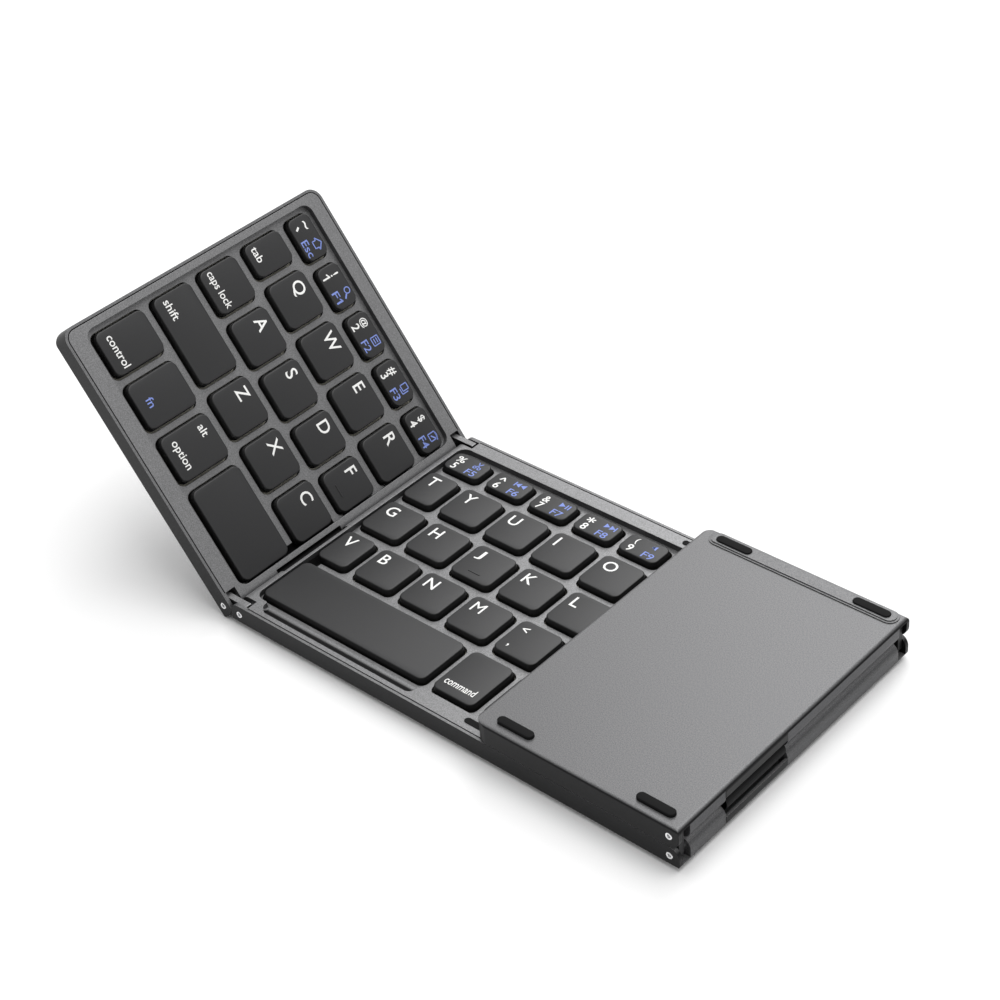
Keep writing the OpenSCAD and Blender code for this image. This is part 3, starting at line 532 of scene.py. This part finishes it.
# %% Row layout
LEFT_START, MID_START = 2.0, -HINGE_X + 0.9
LEFT_ROWS = [[13.3] * 4 + [13.4], [14.1] * 4 + [10.2], [12.4, 12.4, 14.1, 14.1, 13.6],
             [14.1] * 3 + [27.4], [28.8, 13.8, 13.8, 13.3]]
MID_ROWS = [[13.3] * 8 + [15.4], [10.9] + [14.1] * 7 + [12.2], [14.1] * 7 + [26.2],
            [10.9] + [14.1] * 7 + [12.2], [60.2] + [14.1] * 4 + [14.5]]
ROW_TOP = [KEYS_REAR]
for deep in (NUMBER_D, KEY_D, KEY_D, KEY_D):
    ROW_TOP.append(ROW_TOP[-1] - deep - ROW_GAP)
ROW_DEPTH = [NUMBER_D, KEY_D, KEY_D, KEY_D, ROW_TOP[4] - KEYS_FRONT]

def key_spots(widths, start):
    """(start, width) of each key in a row."""
    return [(start + sum(widths[:i]) + i * KEY_GAP, w) for i, w in enumerate(widths)]

print("last key of each row ends at, in mm:",
      [round(sum(key_spots(row, MID_START)[-1]), 1) for row in MID_ROWS])

# %% Marks of each kind of key
WHITE, BLUE = 1, 2
LETTER_CAP, WORD_CAP, DIGIT_CAP, BLUE_CAP = 3.9, 2.4, 2.7, 2.4
TOP_EDGE = 2.1

def letter_marks(letter):
    """One letter. The font's M closes up when bold, and its J hangs below the line."""
    bold = 0.0 if letter == "M" else 0.008
    drawn = {"wide": 2.2, "fit": True} if letter == "J" else {}
    return lambda bm, x, w, y, d: print_words(
        bm, letter, x + 2.3, y - TOP_EDGE - LETTER_CAP, LETTER_CAP, WHITE, bold, **drawn)

def pair_marks(upper, lower):
    def draw(bm, x, w, y, d):
        for sign, low in ((upper, y - TOP_EDGE - DIGIT_CAP), (lower, y - d + 2.9)):
            print_words(bm, sign, x + 3.2, low, DIGIT_CAP, WHITE, 0.012, align=0.5)
    return draw

# Width and height in mm of the signs over the figures, where the font's are others
SIGN_SIZES = {"@": (3.0, 2.7), "%": (3.1, 2.6), "&": (2.3, 2.7), "*": (2.6, 2.5), "(": (0.9, 2.7),
              ")": (0.9, 2.7), "^": (2.3, 1.5), "~": (2.7, 0.9), "$": (1.7, 2.9)}
FIGURE_IN, BLUE_IN, LOW_LINE = 3.3, 3.7, 0.8
BLUE_WIDE = {2: 3.6, 3: 5.2}

def number_marks(upper, lower, second, sign):
    """A sign over a figure on the left; on the right a blue sign over a blue name.
    The font's grave accent is too thin, so a bar stands in for it."""
    def draw(bm, x, w, y, d):
        figure_x, blue_x, line = x + FIGURE_IN, x + w - BLUE_IN, y - d + LOW_LINE
        wide, high = SIGN_SIZES.get(upper, (None, DIGIT_CAP))
        print_words(bm, upper, figure_x, y - 2.8 - high / 2, high, WHITE, 0.012, align=0.5,
                    wide=wide, fit=upper in SIGN_SIZES)
        if lower == "`":
            bar(bm, x + 2.9, y - d + 2.9, x + 3.7, y - d + 1.7, 0.6, WHITE)
        else:
            print_words(bm, lower, figure_x, line, DIGIT_CAP, WHITE, 0.014, align=0.5)
        print_words(bm, second, blue_x, line, BLUE_CAP, BLUE, 0.006, align=0.5,
                    wide=BLUE_WIDE[len(second)])
        sign(bm, blue_x, y - 2.4, BLUE)
    return draw

def word_marks(low, wide, high=None, high_wide=None, ink=WHITE, across=1.7, up=3.0,
               middle=False):
    """A word near the lower left corner or centred, and perhaps one above it."""
    def draw(bm, x, w, y, d):
        if middle:
            print_words(bm, low, x + w / 2, y - d + 3.2, WORD_CAP, ink, 0.004,
                        align=0.5, wide=wide)
        else:
            print_words(bm, low, x + across, y - d + up, WORD_CAP, ink, 0.008, wide=wide)
        if high:
            print_words(bm, high, x + across, y - 2.4 - WORD_CAP, WORD_CAP, ink, 0.01,
                        wide=high_wide)
    return draw

def arrow_marks(turn):
    return lambda bm, x, w, y, d: arrow_sign(bm, x + w / 2, y - d / 2, WHITE, turn)

HOMING_SIZE, HOMING_SLOPE = (4.0, 0.75, 0.3), 0.35

def homing_bar(draw):
    """Adds the raised bar that a finger feels on the two homing keys."""
    def both(bm, x, w, y, d):
        draw(bm, x, w, y, d)
        made = bmesh.ops.create_cube(bm, size=1)["verts"]
        bmesh.ops.scale(bm, vec=(1, HOMING_SLOPE, 1), verts=[v for v in made if v.co.z > 0])
        bmesh.ops.scale(bm, vec=HOMING_SIZE, verts=made)
        bmesh.ops.translate(bm, vec=(x + w / 2, y - d + 2.8, KEY_TOP), verts=made)
    return both

# %% Legends, in the order of the rows
LEFT_LEGENDS = [
    [number_marks("$", "4", "F4", paste_sign), number_marks("#", "3", "F3", copy_sign),
     number_marks("@", "2", "F2", select_sign), number_marks("!", "1", "F1", search_sign),
     number_marks("~", "`", "Esc", home_sign)],
    [letter_marks(c) for c in "REWQ"] + [word_marks("tab", 4.7, across=1.3, up=2.1)],
    [homing_bar(letter_marks("F"))] + [letter_marks(c) for c in "DSA"]
    + [word_marks("caps lock", 11.5, across=1.0, up=2.6)],
    [letter_marks(c) for c in "CXZ"] + [word_marks("shift", 6.1)],
    [None, word_marks("option", 8.7, "alt", 3.4, across=2.4),
     word_marks("fn", 2.7, ink=BLUE, middle=True), word_marks("control", 9.8, across=2.1)],
]
MID_LEGENDS = [
    [number_marks("%", "5", "F5", cut_sign), number_marks("^", "6", "F6", skip_back_sign),
     number_marks("&", "7", "F7", play_sign), number_marks("*", "8", "F8", skip_on_sign),
     number_marks("(", "9", "F9", speaker_sign), number_marks(")", "0", "F10", quiet_sign),
     number_marks("_", "-", "F11", loud_sign), number_marks("+", "=", "F12", lock_sign),
     word_marks("delete", 8.6)],
    [letter_marks(c) for c in "TYUIOP"] + [pair_marks("{", "["), pair_marks("}", "]"),
                                           pair_marks("|", "\\")],
    [letter_marks("G"), letter_marks("H"), homing_bar(letter_marks("J")), letter_marks("K"),
     letter_marks("L"), pair_marks(":", ";"), pair_marks('"', "'"), word_marks("enter", 7.6)],
    [letter_marks(c) for c in "VBNM"] + [pair_marks("<", ","), pair_marks(">", "."),
                                         pair_marks("?", "/"), arrow_marks(TRI_UP),
                                         word_marks("shift", 6.1)],
    [None, word_marks("command", 10.2), word_marks("control", 9.8), arrow_marks(TRI_LEFT),
     arrow_marks(TRI_DOWN), arrow_marks(TRI_RIGHT)],
]

# %% [markdown]
# ## Building all the keys
# A CAD node is one key or a run of like keys. Each gets one mesh, in which
# the caps are plastic and the marks are ink. On the left panel the source
# counts from the hinge outwards, which for the reader is from right to left.

# %% Build the keys of both panels
KEY_NODES = {
    "left": [[("left_number_keys", 0, 3), ("esc_key", 4, 4)],
             [("left_top_letter_keys", 0, 3), ("tab_key", 4, 4)],
             [("left_home_letter_keys", 0, 3), ("caps_lock_key", 4, 4)],
             [("left_low_letter_keys", 0, 2), ("left_shift_key", 3, 3)],
             [("left_space_key", 0, 0), ("alt_key", 1, 1), ("fn_key", 2, 2),
              ("control_key", 3, 3)]],
    "middle": [[("mid_number_keys", 0, 7), ("backspace_key", 8, 8)],
               [("mid_top_letter_keys", 0, 7), ("backslash_key", 8, 8)],
               [("mid_home_letter_keys", 0, 6), ("enter_key", 7, 7)],
               [("mid_low_letter_keys", 0, 6), ("up_arrow_key", 7, 7),
                ("right_shift_key", 8, 8)],
               [("mid_space_key", 0, 0), ("command_key", 1, 1), ("right_control_key", 2, 2),
                ("left_arrow_key", 3, 3), ("down_arrow_key", 4, 4), ("right_arrow_key", 5, 5)]],
}

def build_keys(panel, rows, first_x, legends, place, reader_flips):
    count = 0
    for r, widths in enumerate(rows):
        spots = key_spots(widths, first_x)
        for node, first, last in KEY_NODES[panel][r]:
            bm = bmesh.new()
            drawn = []
            for i in range(first, last + 1):
                start, width = spots[i]
                x = -start - width if reader_flips else start
                key_cap(bm, x, width, ROW_TOP[r], ROW_DEPTH[r])
                drawn.append((legends[r][i], x, width))
            smooth_all(bm)
            for draw, x, width in drawn:
                if draw:
                    draw(bm, x, width, ROW_TOP[r], ROW_DEPTH[r])
            finishes = [caps_with_side_shade[panel], ink_white, ink_blue]
            add_piece(node + "_cap", bm, place, finishes, node, [node], sharp_deg=40)
            count += len(drawn)
    return count

total = build_keys("left", LEFT_ROWS, LEFT_START, LEFT_LEGENDS, LEFT, True)
total += build_keys("middle", MID_ROWS, MID_START, MID_LEGENDS, MIDDLE, False)
print("keys made:", total)

# %% [markdown]
# ## Decks with their thumb trough and the gaps round the keys
# The photograph shows two things that the solid decks have only in plain form.
# The trough in front of the space key has a floor that curves from its lip down
# to the pan, and ends that sweep out in an S. A dark gap follows the front and
# right side of each key. So a copy of each deck is cut once more for both, and
# the curved floor is laid into the middle one.

# %% Cutters: closed skins over a stack of outlines
# WELL_MORE is what a well gains at the front and the right. WELL_SHY keeps the
# other two sides off the solid's own walls, and SINK and TUCK keep a cutter or a
# floor off the face that it would otherwise share. A cutter stands CUT_OVER
# above what it cuts. MERGE_M, in metres, joins points that are in one place.
WELL_GAP = 0.5
WELL_MORE = 0.3
WELL_SHY = 0.1
CUT_OVER = 0.5
WELL_LOW, WELL_HIGH = PAN_Z - 1.5, PAN_Z + CUT_OVER
MID_PAN_END = 73.8
LEFT_PAN_END = -1.5
SINK = 0.02
TUCK = 0.05
MERGE_M = 2e-6

def skin(bm, loops):
    rings = [[bm.verts.new(p) for p in loop] for loop in loops]
    for low, high in zip(rings, rings[1:]):
        for i, start in enumerate(low):
            j = (i + 1) % len(low)
            bm.faces.new((start, low[j], high[j], high[i]))
    bm.faces.new(rings[0][::-1])
    bm.faces.new(rings[-1])

def arc(x, y, r, first, last, steps=8):
    angles = [math.radians(first + (last - first) * i / steps) for i in range(steps + 1)]
    return [(x + r * math.cos(a), y + r * math.sin(a)) for a in angles]

def well_cutter(bm, x, width, y_top, deep, limit):
    x0, x1 = x - WELL_GAP + WELL_SHY, min(x + width + WELL_GAP + WELL_MORE, limit)
    y0, y1 = y_top - deep - WELL_GAP - WELL_MORE, y_top + WELL_GAP - WELL_SHY
    r = CORNER_R
    outline = (arc(x0 + r, y0 + r, r, 180, 270) + arc(x1 - r, y0 + r, r, 270, 360)
               + arc(x1 - r, y1 - r, r, 0, 90) + arc(x0 + r, y1 - r, r, 90, 180))
    skin(bm, [[(px, py, z) for px, py in outline] for z in (WELL_LOW, WELL_HIGH)])

# %% The trough and its curved floor
SCOOP_STEPS = 16
SLACK = 0.1
TROUGH_LIP = -HALF_D + 2.5
TROUGH_LOW = PAN_FRONT + 0.6
TROUGH_BACK = KEYS_FRONT - WELL_GAP - WELL_MORE - SLACK
TROUGH_ENDS = (MID_START + 5.6, MID_START + MID_ROWS[4][0] + 1.0)
SWEEP = (PAN_FRONT - TROUGH_LIP) / 2
REACH = TROUGH_LOW - TROUGH_LIP
SCOOP_R = (REACH ** 2 + PAN_DEEP ** 2) / (2 * PAN_DEEP)

def trough_outline():
    (left, right), r, front, lip = TROUGH_ENDS, SWEEP, PAN_FRONT, TROUGH_LIP
    return ([(left - r, TROUGH_BACK)] + arc(left - r, front - r, r, 90, 0)
            + arc(left + r, lip + r, r, 180, 270) + arc(right - r, lip + r, r, 270, 360)
            + arc(right + r, front - r, r, 180, 90) + [(right + r, TROUGH_BACK)])

def trough_cutter(bm):
    skin(bm, [[(x, y, z) for x, y in trough_outline()]
              for z in (PAN_Z - SINK, PANEL_T + CUT_OVER)])

def half_chord(off):
    return math.sqrt(max(SWEEP * SWEEP - off ** 2, 0))

def sweep_in(y):
    """How far the trough's ends lie inside TROUGH_ENDS at this y, along their S."""
    if y > PAN_FRONT - SWEEP:
        return half_chord(y - PAN_FRONT + SWEEP) - SWEEP
    return SWEEP - half_chord(TROUGH_LIP + SWEEP - y)

def in_trough(point):
    """True for the walls and floor of the trough, not for the deck's top round it."""
    x, y, z = point / MM
    return (TROUGH_ENDS[0] - SWEEP < x < TROUGH_ENDS[1] + SWEEP
            and TROUGH_LIP - SLACK < y < TROUGH_BACK + SLACK
            and PAN_Z - SLACK < z < PANEL_T - SINK)

def trough_scoop(bm):
    """Curved floor, an arc that meets the pan flat and rises to the lip."""
    steep = math.asin(REACH / SCOOP_R)
    turns = [steep * i / SCOOP_STEPS for i in range(SCOOP_STEPS + 1)]
    profile = [(TROUGH_LOW - SCOOP_R * math.sin(a), PAN_Z + SCOOP_R * (1 - math.cos(a)))
               for a in turns]
    profile += [(TROUGH_LIP - TUCK, PANEL_T - 4 * SINK), (TROUGH_LIP - TUCK, PAN_Z - TUCK),
                (TROUGH_LOW, PAN_Z - TUCK)]
    left, right = TROUGH_ENDS
    skin(bm, [[(left + sweep_in(y) - TUCK, y, z) for y, z in profile],
              [(right - sweep_in(y) + TUCK, y, z) for y, z in profile]])

# %% Recut a deck
# Material slots of the trough's painted shade: the curved floor's, and its walls' and ends'
SCOOP_SHADE_SLOT, ENDS_SHADE_SLOT = 1, 2

def deck_cutter(panel, rows, first_x, place, reader_flips, limit):
    bm = bmesh.new()
    for r, widths in enumerate(rows):
        for start, width in key_spots(widths, first_x):
            x = -start - width if reader_flips else start
            well_cutter(bm, x, width, ROW_TOP[r], ROW_DEPTH[r], limit)
    if panel == "middle":
        trough_cutter(bm)
    bmesh.ops.transform(bm, matrix=METRES @ place, verts=bm.verts)
    return mesh_object("cutter", bm)

def merged_copy(node):
    """A CAD mesh is loose triangles, so a copy is merged before it is cut."""
    bm = bmesh.new()
    bm.from_mesh(nodes[node].data)
    bmesh.ops.remove_doubles(bm, verts=bm.verts, dist=MERGE_M)
    return mesh_object(node + "_recut", bm)

def cut_by(obj, tool):
    cut = obj.modifiers.new("wells", "BOOLEAN")
    cut.operation, cut.solver, cut.object = "DIFFERENCE", "EXACT", tool
    bpy.context.view_layer.update()
    depsgraph = bpy.context.evaluated_depsgraph_get()
    result = bpy.data.meshes.new_from_object(obj.evaluated_get(depsgraph))
    obj.modifiers.clear()
    obj.data = result
    bpy.data.objects.remove(tool)

def lay_scoop(bm, place):
    scoop = bmesh.new()
    trough_scoop(scoop)
    bmesh.ops.recalc_face_normals(scoop, faces=scoop.faces)
    bmesh.ops.transform(scoop, matrix=METRES @ place, verts=scoop.verts)
    for face in scoop.faces:
        face.material_index = SCOOP_SHADE_SLOT
    mesh = bpy.data.meshes.new("scoop")
    scoop.to_mesh(mesh)
    scoop.free()
    bm.from_mesh(mesh)
    bpy.data.meshes.remove(mesh)

def recut_deck(panel, rows, first_x, place, reader_flips, limit, body):
    node = {"left": "left_deck", "middle": "mid_deck"}[panel]
    tool = deck_cutter(panel, rows, first_x, place, reader_flips, limit)
    obj = merged_copy(node)
    cut_by(obj, tool)
    obj.data.materials.clear()
    for finish in (lacquers_with_side_shade[node], trough_painted_shade, trough_end_painted_shade):
        obj.data.materials.append(finish)
    bm = bmesh.new()
    bm.from_mesh(obj.data)
    for face in bm.faces:
        face.smooth = False
        # The trough's walls and ends get their painted shade
        ends = panel == "middle" and in_trough(face.calc_center_median())
        face.material_index = ENDS_SHADE_SLOT if ends else 0
    if panel == "middle":
        lay_scoop(bm, place)
    bm.to_mesh(obj.data)
    bm.free()
    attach(obj, body)
    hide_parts(node)
    print(node, "recut, faces:", len(nodes[node].data.polygons), "->",
          len(obj.data.polygons))

recut_deck("middle", MID_ROWS, MID_START, MIDDLE, False, MID_PAN_END, "middle_panel")
recut_deck("left", LEFT_ROWS, LEFT_START, LEFT, True, LEFT_PAN_END, "left_panel")

# %% [markdown]
# ## Rubber feet
# A foot is a pad with round ends, glued in a seat, with its lower edge worn
# soft. A filled circle whose halves are moved apart gives its outline. It is
# extruded up into the seat, and then its lower rim is bevelled.

# %% Feet
FOOT_L, FOOT_W, FOOT_H, FOOT_SEAT, BAR_H = 11.4, 2.7, 0.9, 0.3, 0.5
FOOT_FRONT, FOOT_REAR = -HALF_D + 3.9, HALF_D - 3.0
FOOT_SIDES, FRONT_SOFT, REAR_SOFT = 32, 0.3, 0.25

def pad(bm, x, y, low, high, soft):
    made = bmesh.ops.create_circle(bm, cap_ends=True, segments=FOOT_SIDES,
                                   radius=FOOT_W / 2)["verts"]
    bmesh.ops.rotate(bm, matrix=Matrix.Rotation(math.pi / FOOT_SIDES, 3, "Z"), verts=made)
    for v in made:
        v.co.x += math.copysign((FOOT_L - FOOT_W) / 2, v.co.x)
    bmesh.ops.translate(bm, vec=(x, y, low), verts=made)
    wall = bmesh.ops.extrude_face_region(bm, geom=made[0].link_faces[:])["geom"]
    raised = [g for g in wall if isinstance(g, bmesh.types.BMVert)]
    bmesh.ops.translate(bm, vec=(0, 0, high - low), verts=raised)
    rim = [e for e in edges_of(made) if all(abs(v.co.z - low) < 1e-5 for v in e.verts)]
    bmesh.ops.bevel(bm, geom=rim, offset=soft, segments=3, **BEVEL)

def feet(node, body, place, spots):
    bm = bmesh.new()
    for x in spots:
        pad(bm, x, FOOT_FRONT, -FOOT_H, FOOT_SEAT, FRONT_SOFT)
        pad(bm, x, FOOT_REAR, -FOOT_H, -BAR_H + FOOT_SEAT, REAR_SOFT)
    bmesh.ops.recalc_face_normals(bm, faces=bm.faces)
    smooth_all(bm)
    add_piece(node + "_pads", bm, place, [rubber], body, [node], sharp_deg=45)

FOOT_IN, FOOT_OUT = 6.5, 11.2
feet("mid_feet", "middle_panel", MIDDLE, [-HINGE_X + FOOT_IN, HINGE_X - FOOT_IN])
feet("left_feet", "left_panel", LEFT, [-FOOT_IN, -LEFT_LEN + FOOT_OUT])
feet("right_feet", "right_panel", RIGHT, [FOOT_IN, RIGHT_LEN - FOOT_OUT])

# %% [markdown]
# ## Hinge pins
# A turned pin shows only its end: a bright ring round a dark blind hole. The
# profile of half the pin is drawn once and spun round its axis.

# %% Pins
PIN_R, PIN_HOLE_R, PIN_HOLE = 1.08, 0.5, 1.2
PIN_LONG = 6.6
HOLE_SOFT, RIM_SOFT = 0.12, 0.15

def pin(bm, x, side):
    """Half profile as (radius, depth from the end), spun round the y axis. The new
    pin is then carried to its place, and a tag keeps it there for the next."""
    profile = [(0, PIN_HOLE), (PIN_HOLE_R, PIN_HOLE), (PIN_HOLE_R, HOLE_SOFT),
               (PIN_HOLE_R + HOLE_SOFT, 0), (PIN_R - RIM_SOFT, 0), (PIN_R, RIM_SOFT),
               (PIN_R, PIN_LONG), (0, PIN_LONG)]
    verts = [bm.verts.new((r, side * (HALF_D - a), 0)) for r, a in profile]
    edges = [bm.edges.new(pair) for pair in zip(verts, verts[1:])]
    bmesh.ops.spin(bm, geom=verts + edges, cent=(0, 0, 0), axis=(0, 1, 0),
                   angle=2 * math.pi, steps=28, use_merge=True)
    loose = [v for v in bm.verts if abs(v.co.x) < 2 and abs(v.co.z) < 2 and not v.tag]
    bmesh.ops.translate(bm, vec=(x, 0, PIN_H), verts=loose)
    for v in loose:
        v.tag = True

def pins(node, body, place, spots):
    bm = bmesh.new()
    for x in spots:
        for side in (-1, 1):
            pin(bm, x, side)
    bmesh.ops.remove_doubles(bm, verts=bm.verts, dist=1e-4)
    bmesh.ops.recalc_face_normals(bm, faces=bm.faces)
    smooth_all(bm)
    add_piece(node + "_turned", bm, place, [chrome], body, [node], sharp_deg=30)

pins("mid_hinge_pins", "middle_panel", MIDDLE, [-HINGE_X, HINGE_X])
pins("left_hinge_pins", "left_panel", LEFT, [0])
pins("right_hinge_pins", "right_panel", RIGHT, [0])

# %% [markdown]
# ## Studio
# The keyboard stands on a white sweep under large soft lights. One floor, wide
# enough to fill every view, and a white world keep the background pale.

# %% Floor and world
def white_floor():
    material, tree = new_material("matt_white_paper")
    fibres = grain(tree, 2.0)
    relief = add(tree, "ShaderNodeBump", {"Strength": 0.02, "Distance": GRAIN_RELIEF * MM},
                 {"Height": fibres.outputs["Fac"]})
    shader = add(tree, "ShaderNodeBsdfPrincipled",
                 {"Base Color": linear("#fdfdfd"), "Roughness": 0.9},
                 {"Normal": relief.outputs["Normal"]})
    close_material(tree, shader)
    return material

FLOOR_HALF_M = 6

bm = bmesh.new()
bmesh.ops.create_grid(bm, x_segments=8, y_segments=8, size=FLOOR_HALF_M)
bmesh.ops.translate(bm, vec=(0, 0, -FOOT_H * MM), verts=bm.verts)
floor = mesh_object("paper_sweep", bm)
floor.data.materials.append(white_floor())

world = bpy.data.worlds.new("studio")
world.use_nodes = True
world.node_tree.nodes["Background"].inputs["Color"].default_value = (1, 1, 1, 1)
world.node_tree.nodes["Background"].inputs["Strength"].default_value = 0.5
bpy.context.scene.world = world
bpy.context.scene.view_settings.view_transform = "Standard"

# %% Soft lights
def softbox(name, place, size, watts):
    """A square light of this size in metres, turned to the middle of the keys."""
    data = bpy.data.lights.new(name, "AREA")
    data.shape = "SQUARE"
    data.size = size
    data.energy = watts
    lamp = new_object(name, data)
    lamp.location = place
    lamp.rotation_euler = (-Vector(place)).to_track_quat("-Z", "Y").to_euler()

softbox("overhead_softbox", (0.1, 0.25, 1.4), 1.2, 14)
softbox("rear_softbox", (-0.5, 1.2, 1.0), 0.9, 9)

# %% [markdown]
# ## Camera
# The camera stands where the photograph was taken from: a long lens, about
# 0.6 m away, looking down at the keys from the front right.

# %% Camera
STAND = (0.3133126, -0.3388282, 0.3924623)
RIGHT_HAND = Vector((0.7486975, 0.65913364, -0.07067457))
AHEAD = Vector((-0.56015732, 0.57202669, -0.5991738))

camera_data = bpy.data.cameras.new("camera")
camera_data.lens = 81.34
camera_data.sensor_width = 36
camera_data.clip_start = 0.01
camera = new_object("camera", camera_data)
axes = Matrix([RIGHT_HAND, RIGHT_HAND.cross(AHEAD), -AHEAD])
camera.matrix_world = Matrix.Translation(STAND) @ axes.transposed().to_4x4()
bpy.context.scene.camera = camera
